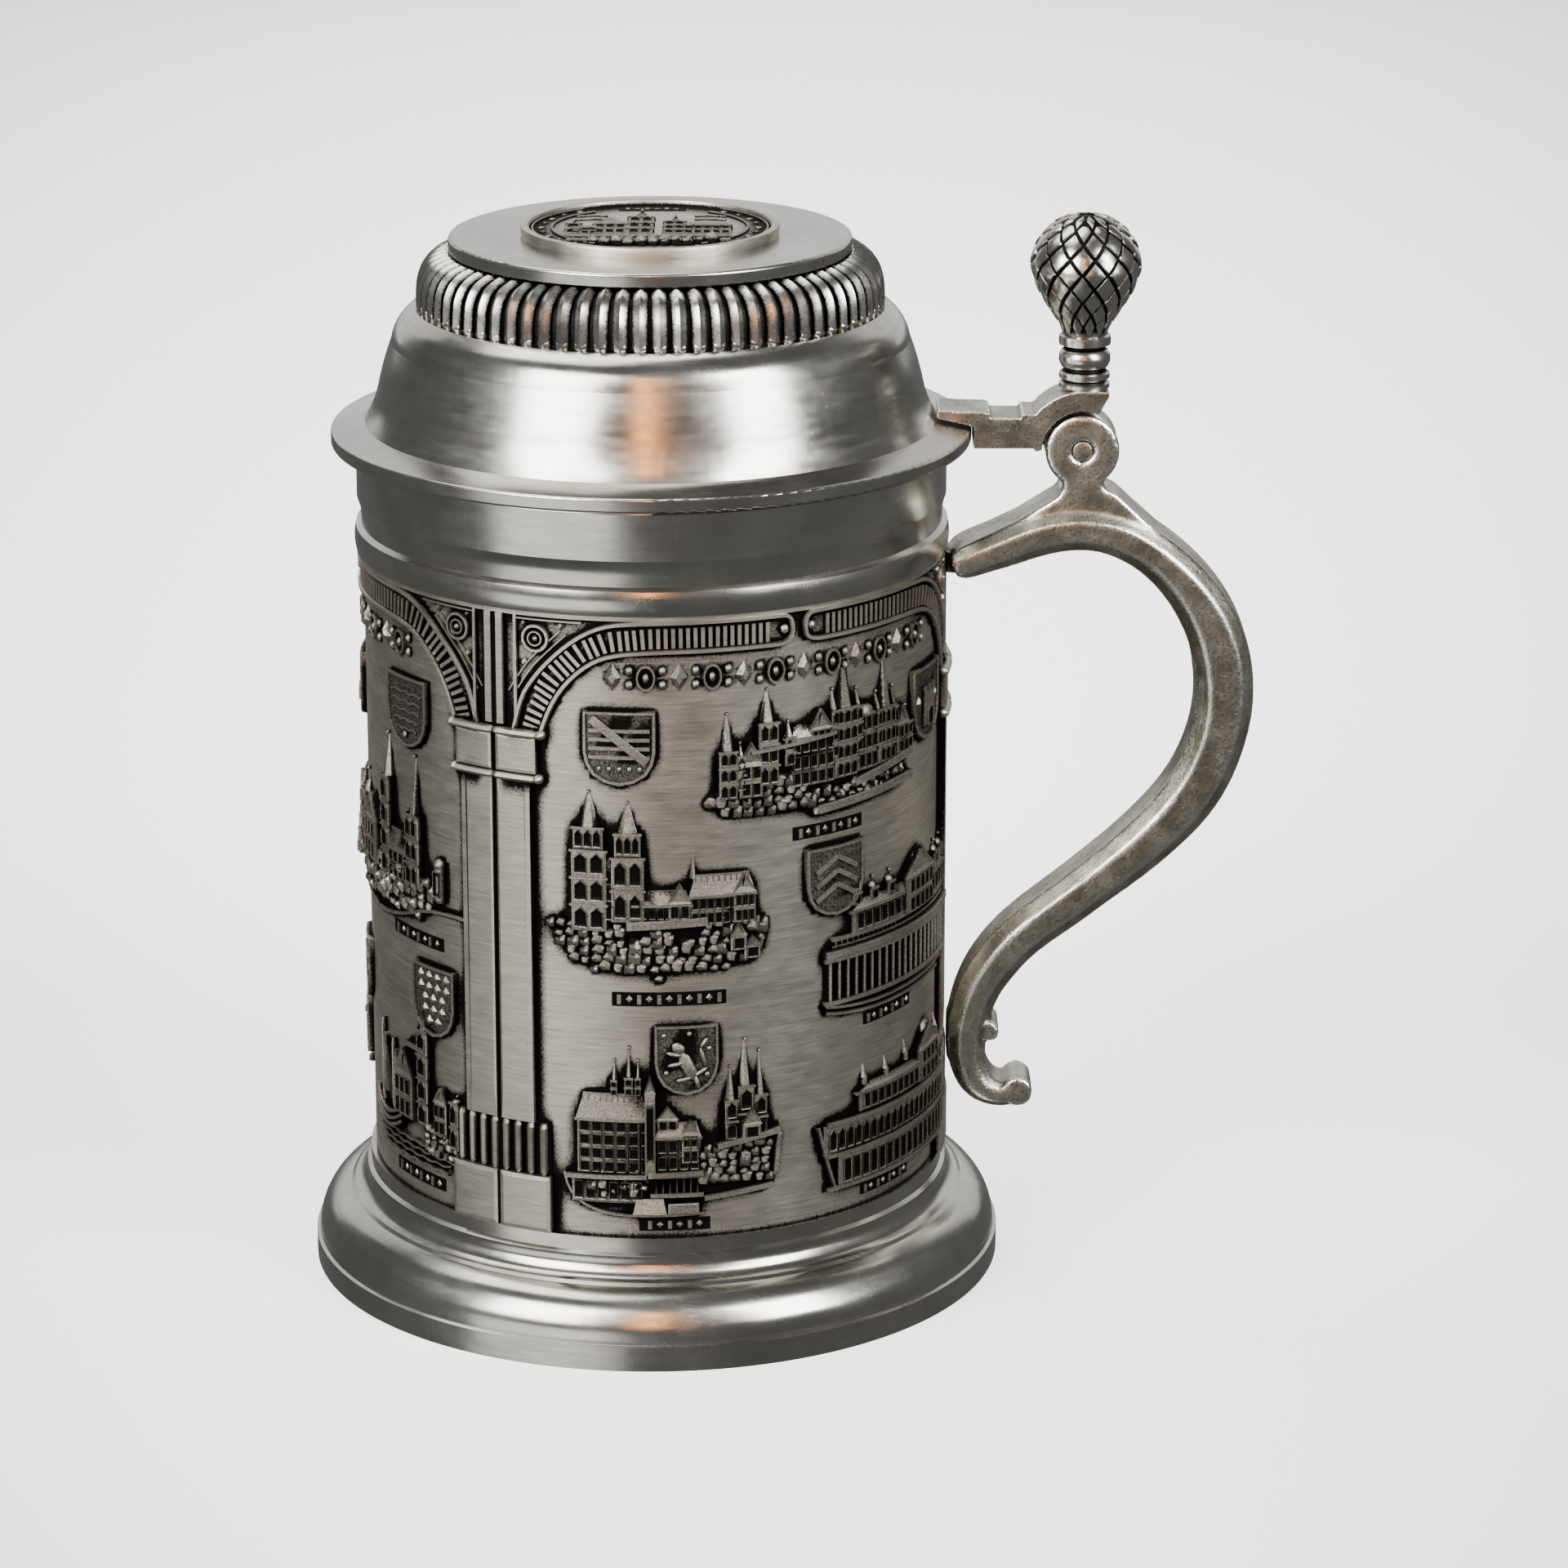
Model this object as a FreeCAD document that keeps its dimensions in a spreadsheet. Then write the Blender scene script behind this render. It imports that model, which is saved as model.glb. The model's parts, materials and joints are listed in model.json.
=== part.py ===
"""Half-litre lidded relief tankard in cast and turned pewter, millimetres.

The origin is on the drum's axis at the plane the foot stands on, +Z is up and
the handle is towards +X. The lid turns about the hinge pin, which lies along Y.
"""
import FreeCAD, Part
import os

import Sketcher

Vector = FreeCAD.Vector
Z_AXIS = Vector(0, 0, 1)
ALONG_Y = FreeCAD.Rotation(Z_AXIS, Vector(0, 1, 0))

doc = FreeCAD.newDocument("tankard")

# ---------------------------------------------------------------- driving sizes
SIZES = {
    # drum: three cast plates soldered edge to edge
    "bore_radius": 40.5,
    "field_radius": 42.9,
    "drum_bottom": 17.3,
    "drum_top": 111.4,
    "plate_angle": 120,
    "shaft_radius": 44.1,
    "shaft_half_angle": 7.6,
    "base_radius": 44.5,
    "base_half_angle": 10.6,
    "plinth_top": 26,
    "flute_top": 34.2,
    "capital_low": 86.5,
    "capital_high": 93.5,
    "capital_bar": 1.6,
    "capital_half_angle": 9.8,
    "border_radius": 43.5,
    "border_low": 106.6,
    "border_high": 110,
    # turned foot and the plate that closes the drum
    "foot_radius": 52.3,
    "foot_edge": 3.7,
    "foot_wall": 3,
    "collar_radius": 43.7,
    "floor_low": 13.5,
    "floor_thick": 2.5,
    "floor_ledge": 38,
    # turned lip
    "lip_radius": 43.7,
    "lip_top": 127,
    # lid
    "lid_rest": 127.2,
    "flange_radius": 47.3,
    "flange_thick": 2.2,
    "rim_radius": 40,
    "rim_drop": 2.6,
    "shoulder_radius": 34.6,
    "lid_table": 147.3,
    "lid_wall": 1.9,
    "band_radius": 34.3,
    "band_bore": 28,
    "band_top": 155.5,
    "disc_radius": 29.6,
    "disc_top": 157.7,
    "medal_radius": 19,
    "medal_top": 159.3,
    "medal_rim": 1.4,
    "medal_field": 158.7,
    # hinge
    "pin_x": 63.6,
    "pin_z": 125.9,
    "pin_radius": 1.6,
    "pin_recess": 0.35,
    "pin_clearance": 0.05,
    "ear_radius": 5.45,
    "ear_outer": 4.5,
    "ear_inner": 2.2,
    "side_gap": 0.25,
    "swing_gap": 0.55,
    # lid strap
    "strap_half": 4.4,
    "strap_start": 42.2,
    "strap_low": 126.4,
    "strap_high": 131.5,
    "strap_over": 130.85,
    "hook_radius": 9,
    "hook_end": 67.4,
    # handle
    "handle_half": 6,
    "handle_bevel": 1.9,
    "saddle_half": 4.5,
    "lug_half": 2.6,
    # thumbpiece
    "thumb_x": 63.9,
    "bulb_z": 153,
    "bulb_radius": 8.15,
    "stem_radius": 3.3,
}

sheet = doc.addObject("Spreadsheet::Sheet", "Dims")
for row, (alias, number) in enumerate(SIZES.items(), start=1):
    sheet.set("A%d" % row, alias)
    sheet.set("B%d" % row, str(number))
    sheet.setAlias("B%d" % row, alias)
doc.recompute()

PARTS = []


def dims(formula):
    """Write bare alias names in a formula as references to the sheet."""
    words = []
    word = ""
    for letter in formula + " ":
        if letter.isalpha() or letter == "_":
            word += letter
            continue
        words.append("Dims." + word if word in SIZES else word)
        words.append(letter)
        word = ""
    return "".join(words).strip()


def size(formula):
    """The number that a formula of aliases comes to now."""
    result = sheet.evalExpression(dims(str(formula)))
    return float(getattr(result, "Value", result))


def bind(obj, **formulas):
    for name, formula in formulas.items():
        obj.setExpression(name, dims(str(formula)))


def keep(obj, label):
    """Name a finished sub-part and list it for export."""
    obj.Label = label
    PARTS.append(obj)
    return obj


# ---------------------------------------------------------------- sketch helpers
def new_body(name):
    return doc.addObject("PartDesign::Body", name)


def new_sketch(body, name):
    """A sketch on the body's own XZ plane: across is X, up is Z."""
    sketch = body.newObject("Sketcher::SketchObject", name)
    plane = next(item for item in body.Origin.OriginFeatures if item.Role == "XZ_Plane")
    sketch.AttachmentSupport = [(plane, "")]
    sketch.MapMode = "FlatFace"
    return sketch


def fix_point(sketch, edge, end, across, up):
    """Hold one end of an edge at coordinates given as formulas of the sheet."""
    axes = (("DistanceX", across, -2), ("DistanceY", up, -1))
    for kind, formula, axis in axes:
        number = size(formula)
        if abs(number) < 1e-9:
            sketch.addConstraint(Sketcher.Constraint("PointOnObject", edge, end, axis))
            continue
        index = sketch.addConstraint(Sketcher.Constraint(kind, edge, end, number))
        sketch.setExpression("Constraints[%d]" % index, dims(str(formula)))


def outline(sketch, corners):
    """Closed outline. A corner is (across, up) or (across, up, rise): rise is how far
    the edge that starts there bows out, to the right of its direction, as an arc."""
    points = [Vector(size(corner[0]), size(corner[1]), 0) for corner in corners]
    edges = []
    for index, corner in enumerate(corners):
        start = points[index]
        end = points[(index + 1) % len(points)]
        rise = size(corner[2]) if len(corner) > 2 else 0
        if rise:
            along = (end - start).normalize()
            middle = (start + end) * 0.5 + Vector(along.y, -along.x, 0) * rise
            arc = Part.Arc(start, middle, end)
            edge = sketch.addGeometry(arc)
            first = 1 if (sketch.getPoint(edge, 1) - start).Length < 1e-6 else 2
            sketch.addConstraint(Sketcher.Constraint("Radius", edge, sketch.Geometry[edge].Radius))
        else:
            edge = sketch.addGeometry(Part.LineSegment(start, end))
            first = 1
        edges.append((edge, first))
        fix_point(sketch, edge, first, corner[0], corner[1])
    for index, (edge, first) in enumerate(edges):
        following, start = edges[(index + 1) % len(edges)]
        joint = Sketcher.Constraint("Coincident", edge, 3 - first, following, start)
        sketch.addConstraint(joint)


def turned(label, corners):
    """A ring, disc or knob turned about Z from a closed half section."""
    body = new_body(label)
    profile = new_sketch(body, label + "_section")
    outline(profile, corners)
    turn = body.newObject("PartDesign::Revolution", label + "_turn")
    turn.Profile = profile
    turn.ReferenceAxis = (profile, ["V_Axis"])
    turn.Angle = 360
    profile.Visibility = False
    return body


def across_width(body, name, kind, half_width, corners=None, circle=None):
    """Pad or pocket a side view by the same amount each way from the XZ plane."""
    sketch = new_sketch(body, name + "_view")
    if corners:
        outline(sketch, corners)
    if circle:
        across, up, radius = circle
        centre = Vector(size(across), size(up), 0)
        ring = sketch.addGeometry(Part.Circle(centre, Vector(0, 0, 1), size(radius)))
        fix_point(sketch, ring, 3, across, up)
        index = sketch.addConstraint(Sketcher.Constraint("Radius", ring, size(radius)))
        sketch.setExpression("Constraints[%d]" % index, dims(radius))
    feature = body.newObject("PartDesign::" + kind, name)
    feature.Profile = sketch
    feature.SideType = "Symmetric"
    bind(feature, Length="2 * (%s)" % half_width)
    return feature


# ---------------------------------------------------------------- foot, floor and lip
def foot_ring():
    body = turned("foot_ring", [
        ("foot_radius - foot_wall", 0),
        ("foot_radius", 0),
        ("foot_radius", "foot_edge"),
        ("foot_radius - 0.5", "foot_edge + 0.2"),
        ("foot_radius - 0.6", "foot_edge + 0.7", 1.35),
        ("collar_radius + 3.1", "foot_edge + 7.3"),
        ("collar_radius + 2.6", "foot_edge + 7.7", -0.75),
        ("collar_radius + 0.6", "foot_edge + 11"),
        ("collar_radius", "foot_edge + 11.4"),
        ("collar_radius", "drum_bottom"),
        ("bore_radius", "drum_bottom"),
        ("bore_radius", "floor_low"),
        ("floor_ledge", "floor_low"),
        ("floor_ledge", "floor_low - 2"),
        ("floor_ledge + 5", "floor_low - 3.5", -0.9),
        ("foot_radius - foot_wall - 0.4", "foot_edge"),
    ])
    keep(body, "foot_ring")


def floor_disc():
    """The drinking space's floor, dropped onto the foot's inner ledge."""
    body = turned("base_disc", [
        (0, "floor_low"),
        ("bore_radius - 0.05", "floor_low"),
        ("bore_radius - 0.05", "floor_low + floor_thick"),
        (0, "floor_low + floor_thick"),
    ])
    keep(body, "base_disc")


def lip_ring():
    body = turned("lip_ring", [
        ("bore_radius", "drum_top"),
        ("lip_radius + 0.2", "drum_top", 0.25),
        ("lip_radius + 0.2", "drum_top + 3.6"),
        ("lip_radius - 0.6", "drum_top + 4.1"),
        ("lip_radius - 0.6", "drum_top + 4.6", -0.2),
        ("lip_radius", "drum_top + 8"),
        ("lip_radius", "lip_top - 0.8", 0.2),
        ("lip_radius - 0.8", "lip_top"),
        ("bore_radius + 0.6", "lip_top", 0.15),
        ("bore_radius", "lip_top - 0.6"),
    ])
    keep(body, "lip_ring")


# ---------------------------------------------------------------- relief plates
def wedge(name, radius, low, high, angle, turn="0"):
    """A slice of a cylinder about Z: its radius, its two heights, how far it goes
    round and where it starts."""
    block = doc.addObject("Part::Cylinder", name)
    bind(block, Radius=radius, Height="(%s) - (%s)" % (high, low), Angle=angle)
    block.Placement = FreeCAD.Placement(Vector(0, 0, size(low)), FreeCAD.Rotation(Z_AXIS, size(turn)))
    block.setExpression("Placement.Base.z", dims(low))
    return block


# One half pilaster, bottom to top: part, radius, low, high, half angle.
PILASTER = [
    ("plinth", "base_radius + 0.3", "drum_bottom", "plinth_top", "base_half_angle"),
    ("flutes", "base_radius - 0.2", "plinth_top", "flute_top", "base_half_angle - 1"),
    ("shaft", "shaft_radius", "flute_top", "capital_high", "shaft_half_angle"),
    ("astragal", "base_radius", "capital_low - capital_bar", "capital_low", "capital_half_angle"),
    ("abacus", "base_radius + 0.3", "capital_high - capital_bar", "capital_high", "capital_half_angle"),
    ("key", "field_radius + 0.7", "capital_high", "drum_top", "1.6"),
]


def relief_plate(label, first_angle):
    """A third of the drum, cast flat and bent, with half a pilaster at each end."""
    pieces = [
        wedge(label + "_field", "field_radius", "drum_bottom", "drum_top", "plate_angle"),
        wedge(label + "_border", "border_radius", "border_low", "border_high", "plate_angle"),
    ]
    for part, radius, low, high, half_angle in PILASTER:
        far_turn = "plate_angle - (%s)" % half_angle
        pieces.append(wedge(label + "_near_" + part, radius, low, high, half_angle))
        pieces.append(wedge(label + "_far_" + part, radius, low, high, half_angle, far_turn))
    solid = doc.addObject("Part::MultiFuse", label + "_casting")
    solid.Shapes = pieces
    bore = wedge(label + "_bore", "bore_radius", "drum_bottom - 1", "drum_top + 1", "360")
    plate = doc.addObject("Part::Cut", label)
    plate.Base = solid
    plate.Tool = bore
    plate.Placement = FreeCAD.Placement(Vector(), FreeCAD.Rotation(Z_AXIS, first_angle))
    keep(plate, label)


# ---------------------------------------------------------------- handle
# The bow's middle line in side view, from the upper end round to the curled foot:
# across, up, half thickness.
BOW = [
    (44.7, 108.2, 1.1), (45.6, 108.6, 2.1), (47.7, 109.5, 2.6), (53, 111.5, 3), (58.1, 113.3, 3.2),
    (63, 114, 3.2), (67.9, 113.4, 3.2), (72.5, 111.4, 3.3), (76.7, 108.2, 3.45), (80.2, 104.3, 3.75),
    (82.9, 99.9, 4.05), (84.6, 95.3, 4.25), (85.4, 90.4, 4.3), (85.3, 85.4, 4.25), (84.2, 80.3, 4.2),
    (82.3, 75.5, 4.2), (79.7, 71.3, 4.15), (76.2, 67.3, 4), (72.1, 63.4, 3.85), (67.6, 59.7, 3.7),
    (63.1, 56.1, 3.65), (58.5, 52.6, 3.6), (53.8, 48.4, 3.5), (49.9, 43, 3.3), (47.8, 37, 3.1),
    (47.4, 31.8, 2.9), (48.4, 27.8, 2.6), (50.8, 25.4, 2.2), (53.4, 24.9, 1.9), (55.2, 25.5, 1.9),
]


def bow_section(across, up, half_thick, half_wide, facing):
    """A flat-sided bar with its four corners bevelled, square to the middle line."""
    bevel = min(size("handle_bevel"), 0.55 * half_thick)
    outward = Vector(-facing.z, 0, facing.x)
    corners = [
        (half_thick, half_wide - bevel), (half_thick - bevel, half_wide),
        (bevel - half_thick, half_wide), (-half_thick, half_wide - bevel),
        (-half_thick, bevel - half_wide), (bevel - half_thick, -half_wide),
        (half_thick - bevel, -half_wide), (half_thick, bevel - half_wide),
    ]
    middle = Vector(across, 0, up)
    points = [middle + outward * out + Vector(0, wide, 0) for out, wide in corners]
    return Part.makePolygon(points + points[:1])


def handle_bow():
    """The bar lofted through its sections, narrowing towards the foot."""
    path = Part.BSplineCurve()
    path.interpolate([Vector(across, 0, up) for across, up, half_thick in BOW])
    sections = []
    for index, (across, up, half_thick) in enumerate(BOW):
        facing = path.tangent(path.parameter(Vector(across, 0, up)))[0]
        half_wide = size("handle_half") * (1 - 0.3 * (index / (len(BOW) - 1)) ** 2)
        sections.append(bow_section(across, up, half_thick, half_wide, facing))
    bow = doc.addObject("Part::Feature", "bow")
    bow.Shape = Part.makeLoft(sections, True, False)
    return bow


def handle_fittings():
    """The tent-shaped saddle, the two hinge ears, the thorn and the rolled end of the
    curl, and the lugs that are soldered to the drum."""
    body = new_body("handle_fittings")
    across_width(body, "saddle", "Pad", "saddle_half", [
        (47.5, 111.2), ("pin_x - 3.6", 119), ("pin_x - 2.8", 120.3), ("pin_x - 2.8", "pin_z - 4"),
        ("pin_x + 3.2", "pin_z - 4"), ("pin_x + 3.2", 120.3), ("pin_x + 5.2", 119.4), (81.6, 107.6),
        (72, 111), (64, 113), (55, 111.2),
    ])
    across_width(body, "ears", "Pad", "ear_outer", circle=("pin_x", "pin_z", "ear_radius"))
    across_width(body, "knuckle_slot", "Pocket", "ear_inner", [
        ("pin_x - ear_radius - 1", "pin_z - ear_radius - 0.4"),
        ("pin_x + ear_radius + 1", "pin_z - ear_radius - 0.4"),
        ("pin_x + ear_radius + 1", "pin_z + ear_radius + 1"),
        ("pin_x - ear_radius - 1", "pin_z + ear_radius + 1"),
    ])
    across_width(body, "pin_bore", "Pocket", "ear_outer + 1", circle=("pin_x", "pin_z", "pin_radius"))
    return body


def handle_end(name, across, up, radius, half_wide):
    """A short roll across the handle."""
    roll = doc.addObject("Part::Cylinder", name)
    roll.Radius = radius
    roll.Height = 2 * half_wide
    roll.Placement = FreeCAD.Placement(Vector(across, -half_wide, up), ALONG_Y)
    return roll


def lug(name, start, low, high):
    """A short square tongue between the handle and the drum."""
    block = doc.addObject("Part::Box", name)
    bind(block, Length="47 - (%s)" % start, Width="2 * lug_half", Height="%s - (%s)" % (high, low))
    block.Placement.Base = Vector(size(start), -size("lug_half"), size(low))
    return block


def handle():
    casting = doc.addObject("Part::MultiFuse", "handle")
    casting.Shapes = [
        handle_bow(),
        handle_fittings(),
        handle_end("thorn", 50.8, 35.2, 1.5, 4.2),
        handle_end("curl_end", 55.2, 25.5, 2.25, 4.3),
        lug("upper_lug", "field_radius + 0.75", 106.9, 110.6),
        lug("lower_lug", "base_radius - 0.15", 30.6, 37),
    ]
    keep(casting, "handle")


def hinge_pin():
    """Riveted in the ears, a little below their outer faces."""
    pin = doc.addObject("Part::Cylinder", "hinge_pin")
    bind(pin, Radius="pin_radius", Height="2 * (ear_outer - pin_recess)")
    start = Vector(size("pin_x"), -size("ear_outer - pin_recess"), size("pin_z"))
    pin.Placement = FreeCAD.Placement(start, ALONG_Y)
    pin.setExpression("Placement.Base.x", dims("pin_x"))
    pin.setExpression("Placement.Base.z", dims("pin_z"))
    keep(pin, "hinge_pin")


# ---------------------------------------------------------------- lid
def lid_shell():
    """Flange, dome and the locating rim that drops inside the lip."""
    body = turned("lid_shell", [
        (0, "lid_table - lid_wall"),
        ("shoulder_radius - 2", "lid_table - lid_wall", 0.7),
        ("shoulder_radius + 1.6", "lid_rest + 15", 0.1),
        ("rim_radius - 1.8", "lid_rest + 6.5"),
        ("rim_radius - 1.4", "lid_rest - rim_drop"),
        ("rim_radius", "lid_rest - rim_drop"),
        ("rim_radius", "lid_rest"),
        ("flange_radius - 0.5", "lid_rest", 0.15),
        ("flange_radius", "lid_rest + 0.5"),
        ("flange_radius", "lid_rest + flange_thick - 0.4", 0.12),
        ("flange_radius - 0.4", "lid_rest + flange_thick"),
        ("flange_radius - 5", "lid_rest + flange_thick + 1", -0.25),
        ("rim_radius + 0.3", "lid_rest + 8", 0.15),
        ("shoulder_radius + 3.6", "lid_rest + 15.2", 0.75),
        ("shoulder_radius", "lid_table"),
        (0, "lid_table"),
    ])
    keep(body, "lid_shell")


def ribbed_band():
    body = turned("ribbed_band", [
        ("band_bore", "lid_table"),
        ("band_radius", "lid_table", 0.1),
        ("band_radius - 1.8", "band_top - 2.7", 0.55),
        ("band_radius - 3.8", "band_top"),
        ("band_bore", "band_top"),
    ])
    keep(body, "ribbed_band")


def lid_top_disc():
    body = turned("lid_top_disc", [
        (0, "band_top"),
        ("disc_radius - 0.3", "band_top"),
        ("disc_radius", "band_top + 0.3"),
        ("disc_radius", "disc_top - 0.5", 0.15),
        ("disc_radius - 0.5", "disc_top"),
        (0, "disc_top"),
    ])
    keep(body, "lid_top_disc")


def medallion():
    body = turned("medallion", [
        (0, "disc_top"),
        ("medal_radius", "disc_top"),
        ("medal_radius", "medal_top - 0.4", 0.12),
        ("medal_radius - 0.4", "medal_top"),
        ("medal_radius - medal_rim", "medal_top"),
        ("medal_radius - medal_rim - 0.4", "medal_field"),
        (0, "medal_field"),
    ])
    keep(body, "medallion")


def lid_strap():
    """The arm soldered to the dome: it bridges the flange, hooks over the ears and
    ends in the middle knuckle that turns on the pin."""
    body = new_body("lid_strap")
    across_width(body, "arm", "Pad", "strap_half", [
        ("strap_start", "strap_over"),
        ("flange_radius + 0.2", "strap_over - 1.2"),
        ("flange_radius + 0.2", "strap_low"),
        ("pin_x - 3", "strap_low"),
        ("pin_x - 3", "pin_z + hook_radius - 3"),
        ("pin_x - hook_radius + 1.9", "strap_high"),
        ("strap_start", "strap_high + 0.6"),
    ])
    across_width(body, "hook", "Pad", "strap_half", [
        ("pin_x - 7.1", "pin_z"),
        ("pin_x", "pin_z + 1"),
        ("hook_end - 1.3", "pin_z + 5.9"),
        ("hook_end", "pin_z + hook_radius - 0.8"),
        ("hook_end", "pin_z + hook_radius"),
        ("pin_x", "pin_z + hook_radius", 0.9),
        ("pin_x - hook_radius + 1.95", "strap_high"),
        ("pin_x - 7.1", "strap_high"),
    ])
    swing = "ear_radius + swing_gap"
    across_width(body, "ear_room", "Pocket", "strap_half + 1", circle=("pin_x", "pin_z", swing))
    knuckle_half = "ear_inner - side_gap"
    across_width(body, "knuckle", "Pad", knuckle_half, circle=("pin_x", "pin_z", "ear_radius - 0.05"))
    across_width(body, "knuckle_web", "Pad", knuckle_half, [
        ("pin_x - 6.5", "strap_low"),
        ("pin_x", "pin_z"),
        ("pin_x + 2.4", "pin_z + 5.8"),
        ("pin_x", "pin_z + 6.8"),
        ("pin_x - 4.8", "pin_z + 5"),
    ])
    bore = ("pin_x", "pin_z", "pin_radius + pin_clearance")
    across_width(body, "knuckle_bore", "Pocket", "ear_inner + 1", circle=bore)
    keep(body, "lid_strap")


def thumbpiece():
    """A ringed stem and a pear-shaped bulb, turned about its own axis."""
    body = turned("thumbpiece", [
        (0, "pin_z + hook_radius"),
        ("stem_radius + 0.4", "pin_z + hook_radius"),
        ("stem_radius + 0.4", "pin_z + hook_radius + 0.6"),
        ("stem_radius", "pin_z + hook_radius + 0.8"),
        ("stem_radius", "pin_z + hook_radius + 1", 0.45),
        ("stem_radius", "pin_z + hook_radius + 2.4"),
        ("stem_radius", "pin_z + hook_radius + 2.9", 0.4),
        ("stem_radius", "pin_z + hook_radius + 5.8"),
        ("stem_radius + 0.5", "pin_z + hook_radius + 6.3"),
        ("stem_radius + 0.5", "pin_z + hook_radius + 7.9"),
        ("stem_radius + 0.3", "bulb_z - 9.6", -0.35),
        ("bulb_radius - 0.6", "bulb_z - 3.1", 0.6),
        ("bulb_radius", "bulb_z", "bulb_radius - bulb_radius * sqrt(0.5)"),
        (0, "bulb_z + bulb_radius"),
    ])
    body.setExpression("Placement.Base.x", dims("thumb_x"))
    keep(body, "thumbpiece")


foot_ring()
floor_disc()
relief_plate("relief_panel_front", 240)
relief_plate("relief_panel_left", 120)
relief_plate("relief_panel_back", 0)
lip_ring()
handle()
hinge_pin()
lid_shell()
ribbed_band()
lid_top_disc()
medallion()
lid_strap()
thumbpiece()
doc.recompute()

# ---------------------------------------------------------------- checks and export
for obj in doc.Objects:
    if "Invalid" in obj.State or "Error" in obj.State:
        raise RuntimeError("%s failed: %s" % (obj.Name, obj.State))

os.makedirs("parts", exist_ok=True)
for part in PARTS:
    shape = part.Shape
    if shape.isNull() or not shape.isValid():
        raise RuntimeError("%s has no valid shape" % part.Label)
    shape.exportStep("parts/%s.step" % part.Label)
    box = shape.optimalBoundingBox()
    print("%-20s %8.0f mm3  %d solid  X %.1f..%.1f  Y %.1f..%.1f  Z %.1f..%.1f" % (
        part.Label, shape.Volume, len(shape.Solids),
        box.XMin, box.XMax, box.YMin, box.YMax, box.ZMin, box.ZMax))
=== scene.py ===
# %% [markdown]
# # A lidded relief tankard in pewter
# The imported CAD model is the frame: it says where each casting and turned ring lies and
# how the lid swings. Each step below takes one piece of the real object, says how a
# workshop makes it, and gives it the same shape in Blender with ordinary edit-mode
# operators. Sizes are written in millimetres and turned into metres by `mm`.

# %% The frame, and the boxes of its parts
import json
import math
import random

import bmesh
import bpy
import numpy as np
from mathutils import Matrix, Vector
from mathutils.bvhtree import BVHTree


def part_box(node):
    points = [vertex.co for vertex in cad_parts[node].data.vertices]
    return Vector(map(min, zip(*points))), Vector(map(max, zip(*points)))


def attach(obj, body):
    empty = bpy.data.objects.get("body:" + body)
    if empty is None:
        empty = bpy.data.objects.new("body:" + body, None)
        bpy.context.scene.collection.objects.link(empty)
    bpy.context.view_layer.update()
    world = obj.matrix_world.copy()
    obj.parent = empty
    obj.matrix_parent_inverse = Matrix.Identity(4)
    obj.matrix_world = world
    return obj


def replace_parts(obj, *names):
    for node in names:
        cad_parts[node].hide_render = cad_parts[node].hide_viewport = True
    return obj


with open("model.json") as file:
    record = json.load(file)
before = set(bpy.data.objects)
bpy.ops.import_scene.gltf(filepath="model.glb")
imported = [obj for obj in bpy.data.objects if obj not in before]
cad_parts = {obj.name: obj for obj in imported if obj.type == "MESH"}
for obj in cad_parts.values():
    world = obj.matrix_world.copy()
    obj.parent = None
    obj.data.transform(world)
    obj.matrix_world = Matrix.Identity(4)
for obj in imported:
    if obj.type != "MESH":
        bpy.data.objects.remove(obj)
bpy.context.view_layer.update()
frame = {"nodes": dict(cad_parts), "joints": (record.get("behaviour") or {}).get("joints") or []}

mm = 0.001
TURN = 2 * math.pi

# %% [markdown]
# ## Places that everything is measured from
# The hinge axis comes from the joint itself. The drum's lower and upper edge, the band, the
# disc, the medallion and the bulb come from the CAD nodes' boxes, so a change of the CAD
# model moves the looks. Only the radius of the drum's field is written here.

# %% Measured places
hinge = Vector(frame["joints"][0]["pos_m"])
plate_low, plate_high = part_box("relief_panel_front")
disc_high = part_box("lid_top_disc")[1]
medal_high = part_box("medallion")[1]
band_low, band_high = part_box("ribbed_band")
bulb_low, bulb_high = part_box("thumbpiece")
pin_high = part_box("hinge_pin")[1]
FIELD_RADIUS = 42.9 * mm
PLATE_ARC = FIELD_RADIUS * TURN / 3
print("plate %.1f mm high, %.1f mm round" % ((plate_high.z - plate_low.z) / mm, PLATE_ARC / mm))

# %% [markdown]
# ## Camera
# A long lens from a little above, with the handle to the right. A small shift keeps the
# tankard where it belongs in the frame without tilting the camera further.

# %% Camera
camera_data = bpy.data.cameras.new("camera")
camera_data.sensor_width = 36
camera_data.lens = 124.6
camera_data.shift_y = -0.0286
camera_data.clip_end = 10
LOOKING_DOWN = 16.54
camera = bpy.data.objects.new("camera", camera_data)
camera.location = (19.6 * mm, -782.7 * mm, 312.9 * mm)
camera.rotation_euler = (math.radians(90 - LOOKING_DOWN), 0, 0)
bpy.context.scene.collection.objects.link(camera)
bpy.context.scene.camera = camera

# %% [markdown]
# ## Floor and studio light
# Polished metal shows the room more than itself, so the lights are the picture: two tall
# soft boxes left and right of the camera with a dark gap between them, a large one
# overhead, a card behind, and a narrow warm strip in the gap. The floor is a sheet of pale
# paper that curves up behind, as in a photographer's studio. An upright metal wall shows
# the floor in front of it, and white paper there would wash out the relief. So the metal
# doesn't see the paper: it sees a dim room, and one low card that lights the drum's left.

# %% Helpers for operators
def nothing_selected():
    """Operators act on what is selected, so each piece starts from an empty selection."""
    if bpy.context.object and bpy.context.object.mode != "OBJECT":
        bpy.ops.object.mode_set(mode="OBJECT")
    bpy.ops.object.select_all(action="DESELECT")


def only(piece):
    """Makes the piece the one selected and active object."""
    nothing_selected()
    piece.select_set(True)
    bpy.context.view_layer.objects.active = piece


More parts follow.
